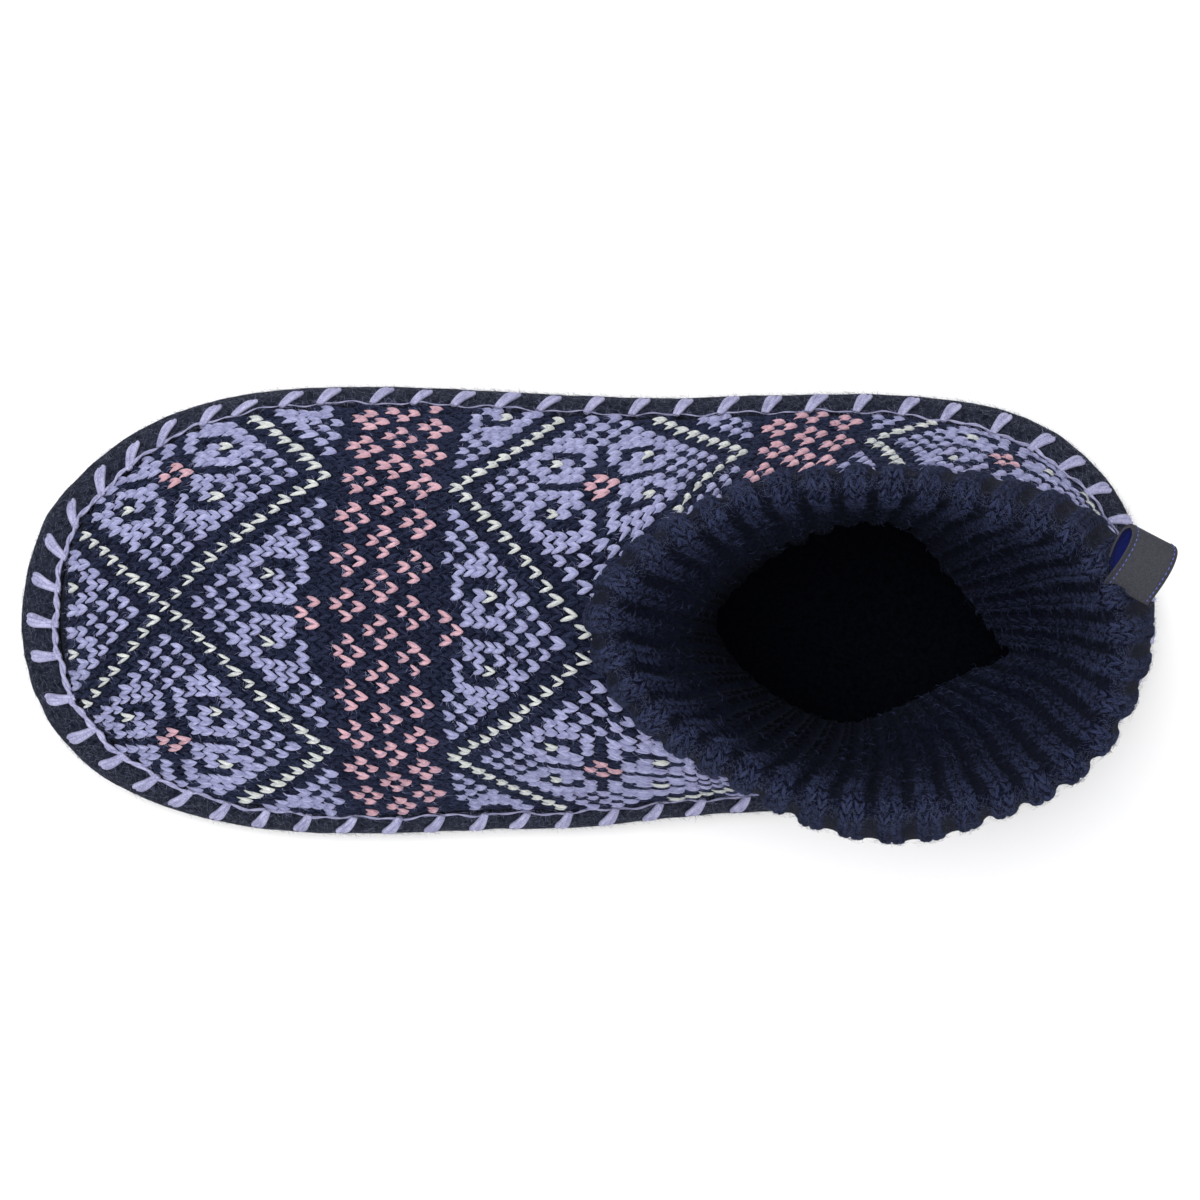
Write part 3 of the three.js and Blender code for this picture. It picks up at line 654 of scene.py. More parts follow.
def row_field(side):
    """The row number all over one side of the skin."""
    grid = SKIN[side]
    x, y = grid[..., 0], grid[..., 1]
    ridge_y = np.interp(-x, -RIDGE_LINE[:, 0], RIDGE_LINE[:, 1])
    bow = np.interp(x, BOW_AT[0], BOW_AT[1][side])
    led = x + bow * (np.minimum(np.abs(y - ridge_y), 42) / 30) ** 2
    head = (RIDGE_ROW[1] - RIDGE_ROW[0]) / (RIDGE_X[0] - RIDGE_X[1])
    front = np.interp(-led, -RIDGE_X, RIDGE_ROW)
    front = np.where(led > RIDGE_X[0], RIDGE_ROW[0] - (led - RIDGE_X[0]) * min(head, 0.45), front)
    seam = grid[:, 0, :2]
    run = np.concatenate([[0], np.cumsum(np.hypot(*(seam[1:] - seam[:-1]).T))])
    run = run - np.interp(34.8, -seam[:, 0], run)
    wall = 51 + run / ROW_PITCH_WALL
    wall = np.repeat(wall[:, None], grid.shape[1], axis=1)
    share = np.repeat(np.clip((12 - grid[:, 0, 0]) / 30, 0, 1)[:, None], grid.shape[1], axis=1)
    share = smooth(share)
    rows = front * (1 - share) + wall * share
    if side == "lateral":
        stretch = smooth(np.clip((-3 - grid[:, 0, 0]) / 29, 0, 1))
        caught_up = smooth(np.clip((-38 - grid[:, 0, 0]) / 75, 0, 1))
        rows = rows - (2.6 * stretch * (1 - caught_up))[:, None]
    return np.maximum.accumulate(rows, axis=0)


ROW_STEP, COL_STEP = 0.5, 0.5
ROW_LOW, ROW_HIGH = -15.0, 104.0
COL_LOW, COL_HIGH = -8.0, 34.0
LEVELS = np.arange(ROW_LOW, ROW_HIGH + 0.1, ROW_STEP)
COLS = np.arange(COL_LOW, COL_HIGH + 0.1, COL_STEP)
SEAM_COLUMNS = ([38, 51, 63, 80, 104], [22.5, 19.8, 18.6, 18.6, 18.6])


def level_line(grid, field, level):
    """The line of one row number over one side of the skin, from the seam up."""
    stations = np.arange(grid.shape[0])
    line = []
    for j in range(grid.shape[1]):
        f = field[:, j]
        if level > f[-1]:
            continue
        if level < f[0]:
            a, b = field[0, j - 1] if j else f[0], f[0]
            if j and b > a and level >= a:
                t = (level - a) / (b - a)
                line.append(grid[0, j - 1] * (1 - t) + grid[0, j] * t)
            break
        at = np.interp(level, f, stations)
        i = min(int(at), grid.shape[0] - 2)
        line.append(grid[i, j] * (1 - at + i) + grid[i + 1, j] * (at - i))
    return np.array(line)


def knit_tables():
    """Points of both sides at every half row and half column, with the columns where the knitting starts and ends."""
    lines = {}
    for side in SIDES:
        field = row_field(side)
        lines[side] = [level_line(SKIN[side], field, level) for level in LEVELS]
    tables = {}
    for side, other in (SIDES, SIDES[::-1]):
        table = np.full((len(LEVELS), len(COLS), 3), np.nan)
        low, high = np.full(len(LEVELS), np.nan), np.full(len(LEVELS), np.nan)
        at_instep = {}
        for k, level in enumerate(LEVELS):
            halves = []
            for name in (side, other):
                line = lines[name][k]
                if len(line) < 4:
                    break
                arc = np.concatenate([[0], np.cumsum(np.linalg.norm(line[1:] - line[:-1], axis=1))])
                grown = smooth(np.clip((level - 16) / 22, 0, 1))
                seam = arc[-1] / (COLUMN_PITCH + grown * (arc[-1] / 22.5 - COLUMN_PITCH))
                pitch = arc[-1] / seam
                if level <= ROWS_TO_INSTEP:
                    at_instep[name] = pitch
                else:
                    seam = np.interp(level, *SEAM_COLUMNS)
                    t = np.interp(level, [ROWS_TO_INSTEP, 50], [0, 1])
                    pitch = at_instep[name] * (1 - t) + (ANKLE_COLUMN + ANKLE_GROWTH * arc) * t
                halves.append((line, seam - arc / pitch, seam, pitch))
            if len(halves) < 2:
                continue
            line, column, seam, pitch = halves[0]
            across, across_column = halves[1][0], halves[1][1]
            if np.linalg.norm(line[-1] - across[-1]) < 1.5:
                shift = column[-1] + across_column[-1]
                line = np.vstack([line, across[-2::-1]])
                column = np.concatenate([column, shift - across_column[-2::-1]])
            away = line[0] - line[2]
            line = np.vstack([line[0] + away / np.linalg.norm(away) * 4, line])
            column = np.concatenate([[seam + 4 / COLUMN_PITCH], column])
            for c in range(3):
                table[k, :, c] = np.interp(COLS, column[::-1], line[::-1, c])
            table[k, (COLS > column[0]) | (COLS < column[-1])] = np.nan
            low[k], high[k] = column[-1], seam
        for j in range(len(COLS)):
            held = np.flatnonzero(~np.isnan(table[:, j, 0]))
            if len(held) > 2:
                first = held[0]
                for back in range(1, min(3, first) + 1):
                    table[first - back, j] = table[first, j] + back * (table[first, j] - table[first + 1, j])
        tables[side] = (table, low, high)
    return tables


TABLES = knit_tables()


def table_normals(table, side):
    n = np.full_like(table, np.nan)
    for up, down in ((1, 1), (1, 0), (0, 1)):
        for left, right in ((1, 1), (1, 0), (0, 1)):
            dr = np.roll(table, -up, 0) - np.roll(table, down, 0)
            dc = np.roll(table, -right, 1) - np.roll(table, left, 1)
            if up:
                dr[-1] = np.nan
            if down:
                dr[0] = np.nan
            if right:
                dc[:, -1] = np.nan
            if left:
                dc[:, 0] = np.nan
            found = np.cross(dc, dr)
            lone = np.isnan(n).any(axis=-1)
            n[lone] = found[lone]
    n /= np.maximum(np.linalg.norm(n, axis=-1, keepdims=True), 1e-9)
    return n if side == "lateral" else -n


NORMALS = {side: table_normals(TABLES[side][0], side) for side in SIDES}


def on_knit(side, rows, cols):
    """Points and normals at row and column numbers, columns counted outward from the ridge."""
    r = (rows - ROW_LOW) / ROW_STEP
    c = (cols - COL_LOW) / COL_STEP
    i = np.clip(r.astype(int), 0, len(LEVELS) - 2)
    j = np.clip(c.astype(int), 0, len(COLS) - 2)
    a, b = (r - i)[..., None], (c - j)[..., None]
    found = []
    for source in (TABLES[side][0], NORMALS[side]):
        found.append(
            source[i, j] * (1 - a) * (1 - b)
            + source[i + 1, j] * a * (1 - b)
            + source[i, j + 1] * (1 - a) * b
            + source[i + 1, j + 1] * a * b
        )
    size = np.linalg.norm(found[1], axis=-1, keepdims=True)
    return found[0], found[1] / np.maximum(size, 1e-9)


# One quarter of the diamond, column by column from its middle, row by row outward
DIAMOND = [
    ".P....L.L.L..W",
    "P.LLLL.L.L..W",
    "..LL.LL.L..W",
    ".L.LW.LL..W",
    ".L...LL..W",
    ".LLLLL..W",
    "L.LLL..W",
    ".L.L..W",
    "L.L..W",
    ".L..W",
    "L..W",
    "..W",
    ".W",
    "W",
]


def chart(row, col):
    """The yarn of one stitch: N navy, L lavender, W white, P pink."""
    r = row % 38
    if 15 <= r <= 23:
        middle = (r - 15) // 3
        dr = (r - 15) % 3 - 1
        first = 1 if middle == 1 else -1
        dc = (col - first + 2) % 4 - 2
        return "P" if abs(dr) + abs(dc) == 1 else "N"
    if r in (14, 24):
        return "N"
    r = r if r <= 13 else 38 - r
    c = abs((col + 13) % 26 - 13)
    if r <= c:
        a, b = 13 - c, r
    else:
        a, b = c, 13 - r
    mark = DIAMOND[a][b]
    return "N" if mark == "." else mark


def stitches():
    found = {k: [] for k in "NLWP"}
    for side in SIDES:
        _, low, high = TABLES[side]
        sign = 1 if side == "lateral" else -1
        for row in range(int(ROW_LOW) + 2, int(ROW_HIGH) - 1):
            k = int(round((row - ROW_LOW) / ROW_STEP))
            if np.isnan(high[k]):
                continue
            joined = low[k] < -10
            for col in range(int(COL_LOW) + 1, int(COL_HIGH)):
                if joined and (col < 0 or (col == 0 and side == "medial")):
                    continue
                if col > high[k] - 0.05 or col < low[k] + 0.6:
                    continue
                found[chart(row, sign * col)].append((side, row, col))
    return found


LEG_ALONG = np.array([0.0, 0.14, 0.34, 0.58, 0.82, 1.0])
# Inner and outer edge of a leg beside the stitch's middle line, in columns
LEG_INNER = np.array([-0.01, -0.01, 0.01, 0.11, 0.27, 0.4])
LEG_OUTER = np.array([0.04, 0.17, 0.31, 0.43, 0.5, 0.5])
LEG_MIDDLE = (LEG_INNER + LEG_OUTER) / 2
LEG_HALF = (LEG_OUTER - LEG_INNER) / 2
LEG_HEIGHT = np.array([0.15, 0.8, 1.0, 0.78, 0.3, -0.4])
LEG_ACROSS = np.array([-1.0, -0.45, 0.45, 1.0])


def stitch_mesh(name, spots, material, height, bold):
    """Two leaf-shaped legs for each stitch, laid on the knit's surface."""
    n = len(spots)
    points = np.zeros((n, 2, len(LEG_ALONG), len(LEG_ACROSS), 3))
    ground = np.zeros((n, 2, len(LEG_ALONG), 3))
    jitter = rng.normal(0, 1, (n, 8))
    size = 1 + 0.07 * jitter[:, 2]
    for side in SIDES:
        own = np.array([s[0] == side for s in spots])
        if not own.any():
            continue
        row = np.array([s[1] for s in spots], float)[own] + 0.05 * jitter[own, 0]
        col = np.array([s[2] for s in spots], float)[own] + 0.045 * jitter[own, 1]
        grow = size[own]
        for leg, hand in enumerate((-1, 1)):
            along = LEG_ALONG[None, :, None]
            across = LEG_ACROSS[None, None, :]
            turned = 0.07 * jitter[own, 4][:, None, None]
            long = 1.2 + 0.22 * smooth(np.clip((col - 9) / 8, 0, 1))[:, None, None]
            middle_r = 0.62 - (long + 0.08 * jitter[own, 5 + leg][:, None, None]) * along
            middle_c = hand * LEG_MIDDLE[None, :, None] + turned * (along - 0.5)
            wide = bold * LEG_HALF[None, :, None] * grow[:, None, None]
            r = row[:, None, None] + middle_r * grow[:, None, None] + hand * across * wide * 0.15
            c = col[:, None, None] + middle_c + across * wide
            r, c = np.broadcast_arrays(r, c)
            p, nm = on_knit(side, r, c)
            ground[own, leg] = p[:, :, 1:3].mean(axis=2)
            round_off = np.sqrt(np.clip(1 - across**2, 0, 1))
            h = -0.5 + (LEG_HEIGHT[None, :, None] * height * (0.35 + 0.65 * round_off) + 0.05 * jitter[own, 3][:, None, None])
            h = np.where(np.abs(across) > 0.99, h - 0.25, h)
            points[own, leg] = p + nm * h[..., None]
    good = ~np.isnan(points).any(axis=(1, 2, 3, 4))
    path = np.linalg.norm(ground[:, :, 1:] - ground[:, :, :-1], axis=-1).sum(axis=-1)
    straight = np.linalg.norm(ground[:, :, -1] - ground[:, :, 0], axis=-1)
    good &= ((path < 1.16 * straight) & (path < 9)).all(axis=1)
    medial = np.repeat(np.array([s[0] == "medial" for s in spots])[good], 2)
    points = points[good]
    n = len(points)
    cell = sheet_faces(len(LEG_ALONG), len(LEG_ACROSS))
    per = len(LEG_ALONG) * len(LEG_ACROSS)
    cells = np.where(medial[:, None, None], cell[None, :, ::-1], cell[None])
    faces = (cells + (np.arange(n * 2) * per)[:, None, None]).reshape(-1, 4)
    spread = rng.uniform(0, 60, (n, 2, 1, 1))
    u = LEG_ALONG[None, None, :, None] * 1.2 + spread
    v = LEG_ACROSS[None, None, None, :] * 0.9 + spread[..., ::-1] * 0.7
    uv = np.stack(np.broadcast_arrays(u, v), -1)
    return build(name, points, faces, material, uv=uv)


SPOTS = stitches()
stitch_mesh("knit_navy", SPOTS["N"], NAVY, 0.55, 1.2)
stitch_mesh("knit_lavender", SPOTS["L"], LAVENDER, 0.72, 1.56)
stitch_mesh("knit_white", SPOTS["W"], WHITE, 0.75, 1.05)
stitch_mesh("knit_pink", SPOTS["P"], PINK, 0.75, 1.36)


# Tubes of yarn


def tube(line, radius, sides=6):
    """A round tube along a line of points, as points and faces."""
    line = np.asarray(line, float)
    run = np.gradient(line, axis=0)
    run /= np.linalg.norm(run, axis=1, keepdims=True)
    up = np.array([0, 0, 1.0])
    a = np.cross(run, up)
    a /= np.maximum(np.linalg.norm(a, axis=1, keepdims=True), 1e-6)
    b = np.cross(run, a)
    turn = np.linspace(0, 2 * math.pi, sides, endpoint=False)
    radius = np.broadcast_to(np.asarray(radius, float), (len(line),))
    points = (
        line[:, None]
        + a[:, None] * (np.cos(turn)[None, :, None] * radius[:, None, None])
        + b[:, None] * (np.sin(turn)[None, :, None] * radius[:, None, None])
    )
    uv = np.stack(np.broadcast_arrays(np.arange(len(line))[:, None] * 0.35, turn[None, :] * 0.5), -1)
    return points.reshape(-1, 3), sheet_faces(len(line), sides, closed_cols=True), uv.reshape(-1, 2)


def tubes(name, lines, material, sides=6):
    points, faces, uvs, at = [], [], [], 0
    for line, radius in lines:
        p, f, uv = tube(line, radius, sides)
        points.append(p)
        faces.append(f + at)
        uvs.append(uv + rng.uniform(0, 50, 2))
        at += len(p)
    return build(name, np.concatenate(points), np.concatenate(faces), material, uv=np.concatenate(uvs))


# Edging: a doubled lavender yarn, run along the seam and looped down over the felt band


def around(count):
    """Side and share of the way for even steps round the whole outline, from the toe by the lateral side."""
    length = {side: OUTLINE[side].sums[-1] for side in SIDES}
    whole = length["lateral"] + length["medial"]
    places = []
    for k in range(count):
        d = k / count * whole
        if d <= length["lateral"]:
            places.append(("lateral", d / length["lateral"]))
        else:
            places.append(("medial", (whole - d) / length["medial"]))
    return places, whole


def seam_spot(side, s, out=0.7, drop=0.0):
    o = outline_at(side, s)
    inset, z = band_curve(o[1], 1.0 - drop, out)
    return inset_point(o, inset, z)


def round_outline(side, s):
    """A place on the outline, run on to the other side past the toe or the heel."""
    if s < 0:
        return outline_at("medial" if side == "lateral" else "lateral", -s)
    if s > 1:
        return outline_at("medial" if side == "lateral" else "lateral", 2 - s)
    return outline_at(side, s)


# How far each loop leans from straight out, in degrees, at shares of the way from toe to heel
STITCH_LEAN = {
    "s": (0.0, 0.1, 0.22, 0.35, 0.8, 1.0),
    "lateral": (14, 32, 36, 30, 28, 22),
    "medial": (14, 48, 52, 38, 30, 20),
}


def band_length(band):
    inset, z = band, SEAM_HEIGHT - WIDEST_HEIGHT
    return math.hypot(inset, z) * 1.06


# Middle of each loop seen over the felt band, in millimetres, from the toe to the heel; the heel's own are even
LOOPS = {
    "lateral": [
        (122.8, 1.9), (120.4, 10.2), (116.0, 19.1), (110.7, 26.5), (104.1, 32.5), (97.0, 37.8), (89.8, 41.7),
        (80.9, 44.2), (71.9, 45.9), (62.7, 46.6), (53.2, 47.0), (43.3, 46.6), (34.0, 46.1), (24.1, 45.5),
        (14.9, 45.0), (5.2, 44.4), (-4.5, 44.2), (-14.2, 43.9), (-23.9, 44.2), (-33.4, 44.2),
    ],
    "medial": [
        (119.9, -6.3), (118.8, -14.7), (114.2, -22.1), (108.3, -29.9), (101.0, -34.9), (93.5, -40.4),
        (83.8, -44.6), (76.1, -46.2), (65.7, -47.5), (57.4, -48.1), (45.7, -48.4), (36.9, -48.1), (27.9, -47.5),
        (17.9, -47.3), (8.7, -46.6), (-1.2, -46.2), (-11.1, -45.7), (-20.8, -45.7), (-30.5, -46.2),
        (-40.0, -46.6), (-49.9, -46.8), (-60.3, -46.6), (-70.2, -45.5), (-79.4, -43.7), (-90.2, -40.6), (-98.8, -35.8),
    ],
}
LOOP_PITCH = 9.6


def loop_places():
    places = []
    shares = np.linspace(0, 1, 801)
    for side in SIDES:
        line = OUTLINE[side](shares)
        last = 0
        for x, y in LOOPS[side]:
            last = shares[np.argmin(np.hypot(line[:, 0] - x, line[:, 1] - y))]
            places.append((side, last))
        length = OUTLINE[side].sums[-1]
        more = int(round((1 - last) * length / LOOP_PITCH))
        places += [(side, last + (1 - last) * (k + 1) / (more + 0.5)) for k in range(more)]
    return places


def edging():
    places, whole = around(720)
    band = np.array([outline_at(side, s)[1] for side, s in places]) / BAND_REACH
    medial = np.array([side == "medial" for side, _ in places])
    line = np.array([seam_spot(side, s, np.interp(b, [0.5, 0.8], [0.2, 0.62])) for (side, s), b in zip(places, band)])
    heavy = np.clip(np.where(medial, 0.2, 0.36) + (band - 0.5) * 1.3, 0.2, 0.86)
    line, heavy = np.vstack([line, line[:1]]), np.append(heavy, heavy[0])
    run = np.gradient(line, axis=0)
    run /= np.linalg.norm(run, axis=1, keepdims=True)
    side_way = np.cross(run, [0, 0, 1.0])
    side_way /= np.linalg.norm(side_way, axis=1, keepdims=True)
    arc = np.arange(len(line)) / (len(line) - 1) * whole
    loose = 0.3 * np.sin(arc * 2 * math.pi * 35 / whole) + 0.2 * np.sin(arc * 2 * math.pi * 83 / whole + 1)
    line = line + side_way * loose[:, None]
    strands = []
    for k in range(2):
        turn = 2 * math.pi * arc / 8.5 + k * math.pi
        wave = 0.4 * heavy[:, None] * (np.cos(turn)[:, None] * side_way + np.sin(turn)[:, None] * np.array([0, 0, 0.8]))
        strands.append((line + wave, 0.48 * heavy * (1 + 0.08 * np.sin(arc * 1.7 + k))))
    gen = np.random.default_rng(11)
    for side, s in loop_places():
        band = outline_at(side, s)[1]
        length = OUTLINE[side].sums[-1]
        clockwise = -1 if side == "lateral" else 1
        lean = table_at(STITCH_LEAN, side, s) + gen.normal(0, 5)
        deep = band / BAND_REACH
        long = np.interp(deep, [0.45, 0.65], [6.1, 6.3]) + gen.normal(0, 0.25)
        along_seam = long * math.sin(math.radians(lean)) * clockwise / length
        s -= along_seam / 2
        down = long * math.cos(math.radians(lean))
        whole_way = band_length(band)
        reach = min(down / whole_way, 1.1)
        fan = gen.normal(1, 0.12)
        for strand in (-1, 0, 1):
            path = []
            for t in np.linspace(0, 1, 11):
                spread = strand * fan * np.interp(t, [0, 0.35, 0.7, 0.9, 1], [0.28, 0.62, 0.95, 0.8, 0.4])
                oo = round_outline(side, s + along_seam * t + spread / length)
                off = 0.42 * math.sin(math.pi * min(1, 0.3 + t * 0.62)) + 0.1 + 0.14 * abs(strand)
                inset, z = band_curve(oo[1], 1.04 - t * reach, off)
                path.append(inset_point(oo, inset, z))
            path = through_points(path, False, 2)
            thick = 0.58 * np.interp(np.linspace(0, 1, len(path)), [0, 0.12, 0.85, 1], [0.75, 0.95, 1, 0.6])
            strands.append((path, thick))
    yarns = tubes("edging_yarn", strands, EDGING)
    lines = [path for path, _ in strands]
    roots = np.concatenate([path[1:-1] for path in lines])
    along = np.concatenate([path[2:] - path[:-2] for path in lines])
    pick = gen.integers(0, len(roots), 4500)
    roots, along = roots[pick], along[pick]
    up = gen.normal(0, 1, roots.shape) + np.array([0, 0, 1.2])
    up -= along * ((up * along).sum(1) / (along**2).sum(1))[:, None]
    up /= np.linalg.norm(up, axis=1, keepdims=True)
    roots = roots + up * 0.35
    return yarns, (roots, up, along)


EDGING_ROOTS = edging()[1]


# Collar: the folded rib, its stitches and its fuzz


# The lining's narrow place inside the shaft: shares of the throat's length and width
LIP_RING = [
    (0.383, -0.085), (0.346, 0.049), (0.2, 0.233), (0.036, 0.313), (-0.108, 0.244), (-0.271, 0.125), (-0.389, 0.049),
    (-0.36, -0.004), (-0.234, -0.242), (-0.108, -0.44), (0.019, -0.46), (0.203, -0.349), (0.31, -0.229),
]
LIP_LINE = through_points([(x * THROAT_LENGTH, y * THROAT_WIDTH) for x, y in LIP_RING], True)
LIP_TURN = np.unwrap(np.arctan2(LIP_LINE[:, 1], LIP_LINE[:, 0]))
LIP_REACH = np.hypot(LIP_LINE[:, 0], LIP_LINE[:, 1])
LIP_DEPTH = 22.0


def lip_at(share):
    """The lip in the same direction from the ankle's middle as the throat at this share."""
    way = THROAT(share % 1) - np.array(ANKLE)
    rim = CREST(share % 1) - np.array(ANKLE)
    turn = math.atan2(way[1], way[0])
    drift = (turn - math.atan2(rim[1], rim[0]) + math.pi) % (2 * math.pi) - math.pi
    turn += 0.5 * drift
    while turn < LIP_TURN[0]:
        turn += 2 * math.pi
    reach = np.interp(turn, LIP_TURN, LIP_REACH)
    return np.array(ANKLE) + np.array([math.cos(turn), math.sin(turn)]) * reach


# Where the hem is drawn in toward the shaft: middle and half width of the place in degrees round the ankle, and how far
HEM_TUCKS = [(38, 42, 2.4), (-65, 60, 1.2)]


def hem_tuck(place):
    way = place - np.array(ANKLE)
    turn = math.degrees(math.atan2(way[1], way[0]))
    tuck = 0
    for middle, half, deep in HEM_TUCKS:
        tuck += deep * math.cos(math.pi / 2 * clamp((turn - middle) / half, -1, 1)) ** 2
    return tuck


def cuff_section(share, steps):
    around_by = (1 - math.cos(2 * math.pi * share)) / 2
    throat, throat_out = THROAT(share), outward_at(THROAT, share)
    crest, out = CREST(share), outward_at(CREST, share)
    hem, hem_out = HEM(share), outward_at(HEM, share)
    hem = hem - hem_out * hem_tuck(hem)
    top = CREST_FRONT + (CREST_BACK - CREST_FRONT) * around_by
    bottom = HEM_FRONT + (HEM_BACK - HEM_FRONT) * around_by**0.45
    foot = THROAT_HEIGHT + CLEARANCE

    def spot(p, n, by, z):
        return np.array([p[0] + n[0] * by, p[1] + n[1] * by, z])

    def between(a, b, t, by):
        p = a + (b - a) * t
        return np.array([p[0] + out[0] * by, p[1] + out[1] * by, p[2]])

    w = CUFF_WALL
    inner_foot = spot(throat, throat_out, -w * 0.8, foot)
    inner_top = spot(crest, out, -w, top - 1.3 * w)
    outer_top = spot(crest, out, w, top - 1.4 * w)
    outer_foot = spot(hem, hem_out, 0, bottom + 0.9 * w)
    lip = lip_at(share)
    seen = [
        np.array([lip[0], lip[1], foot - LIP_DEPTH]),
        np.array([*(lip + (inner_foot[:2] - lip) * 0.35), foot - LIP_DEPTH * 0.5]),
        inner_foot,
        between(inner_foot, inner_top, 0.5, 0.3 * w),
        inner_top,
        spot(crest, out, -0.55 * w, top - 0.28 * w),
        spot(crest, out, 0.1 * w, top),
        spot(crest, out, 0.68 * w, top - 0.42 * w),
        outer_top,
        between(outer_top, outer_foot, 0.5, 0.25 * w),
        outer_foot,
        spot(hem, hem_out, -0.25 * w, bottom),
    ]
    hidden = [
        spot(hem, hem_out, -0.8 * w, bottom + 0.1 * w),
        spot(hem, hem_out, -w, bottom + 0.9 * w),
        between(outer_top, outer_foot, 0.5, -0.75 * w),
        spot(crest, out, 0.05 * w, top - 1.7 * w),
        between(inner_foot, inner_top, 0.5, 1.15 * w),
        spot(throat, throat_out, 0.1 * w, foot),
        np.array([*(lip + (inner_foot[:2] - lip) * 0.2), foot - LIP_DEPTH]),
    ]
    line = through_space(seen)
    arc = np.concatenate([[0], np.cumsum(np.linalg.norm(line[1:] - line[:-1], axis=1))])
    at = np.linspace(0, arc[-1], steps)
    return np.array([np.interp(at, arc, line[:, c]) for c in range(3)]).T, np.array(hidden)


def through_space(points, steps=8):
    """A smooth open line through points in space."""
    points = np.array(points)
    line = []
    n = len(points)
    for i in range(n - 1):
        p0, p1, p2, p3 = points[max(i - 1, 0)], points[i], points[i + 1], points[min(i + 2, n - 1)]
        t = np.linspace(0, 1, steps, endpoint=False)[:, None]
        line.append(
            0.5 * (2 * p1 + (p2 - p0) * t + (2 * p0 - 5 * p1 + 4 * p2 - p3) * t**2 + (3 * p1 - p0 - 3 * p2 + p3) * t**3)
        )
    return np.vstack([*line, points[-1:]])


CUFF_ROUND = RIB_COUNT * 10
CUFF_STEPS = 88
CUFF_SEEN, CUFF_HIDDEN = (np.array(v) for v in zip(*[cuff_section(i / CUFF_ROUND, CUFF_STEPS) for i in range(CUFF_ROUND)]))


def wrap_normals(grid):
    du = np.roll(grid, -1, 0) - np.roll(grid, 1, 0)
    dv = np.gradient(grid, axis=1)
    n = np.cross(dv, du)
    return n / np.linalg.norm(n, axis=-1, keepdims=True)


CUFF_NORMAL = wrap_normals(CUFF_SEEN)
CUFF_RIM = CUFF_SEEN[..., 2].argmax(axis=1)


def painted_depth_shade(share, step):
    """Painted shade for the collar's wool: a slight painted highlight on the rim, painted shade darkening down the
    lining toward the hole and, less, down the outer side; at the back the lining is painted less dark.
    """
    rim = CUFF_RIM[(np.asarray(share) * CUFF_ROUND).astype(int) % CUFF_ROUND]
    at_back = ((1 - np.cos(2 * math.pi * np.asarray(share))) / 2) ** 2
    down = [-36, -22, -8, 0, 5, 14]
    front = np.interp(step - rim, down, [0.03, 0.3, 0.95, 1.05, 0.95, 0.72])
    back = np.interp(step - rim, down, [0.55, 0.75, 0.95, 1.0, 0.95, 0.75])
    return front + (back - front) * at_back


def rib_height(share):
    """Round ribs with narrower furrows between them."""
    wave = np.cos(2 * math.pi * RIB_COUNT * share)
    return 0.62 * RIB_DEPTH * (0.9 - 1.9 * ((1 - wave) / 2) ** 2.2)


def rib_drift(points):
    """Ribs wander a little and are never quite alike."""
    return 0.14 / RIB_COUNT * fibre_noise(points, 55, 21)


def collar():
    share = (np.arange(CUFF_ROUND) / CUFF_ROUND)[:, None] * np.ones((1, CUFF_STEPS))
    flat = CUFF_SEEN.reshape(-1, 3)
    drift = rib_drift(flat).reshape(share.shape)
    uneven = fibre_noise(flat, 24, 5).reshape(share.shape) * 0.6
    step = np.arange(CUFF_STEPS)
    fade = np.clip(np.minimum(step / 5, 0.1 + (CUFF_STEPS - 1 - step) / 12), 0, 1)[None]
    height = (rib_height(share + drift) - 0.3 + uneven * 0.5) * fade - 0.25
    outer = CUFF_SEEN + CUFF_NORMAL * height[..., None]
    whole = np.concatenate([outer, CUFF_HIDDEN], axis=1)
    made = build(
        "rib_backing", whole, sheet_faces(CUFF_ROUND, whole.shape[1], closed_rows=True, closed_cols=True), RIB_BACKING
    )
    weld(made)
    return made, height, drift


cuff_backing, CUFF_HEIGHT, CUFF_DRIFT = collar()
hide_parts("cuff")


def on_cuff(share, step):
    """Points and normals on the collar's visible face; share runs round, step from the throat to the hem."""
    a = (share % 1) * CUFF_ROUND
    b = np.clip(step, 0, CUFF_STEPS - 1.001)
    i, j = a.astype(int) % CUFF_ROUND, b.astype(int)
    i2 = (i + 1) % CUFF_ROUND
    fa, fb = (a - np.floor(a))[..., None], (b - j)[..., None]
    found = []
    for source in (CUFF_SEEN, CUFF_NORMAL, CUFF_HEIGHT[..., None]):
        found.append(
            source[i, j] * (1 - fa) * (1 - fb) + source[i2, j] * fa * (1 - fb) + source[i, j + 1] * (1 - fa) * fb + source[i2, j + 1] * fa * fb
        )
    return found[0], found[1], found[2][..., 0]


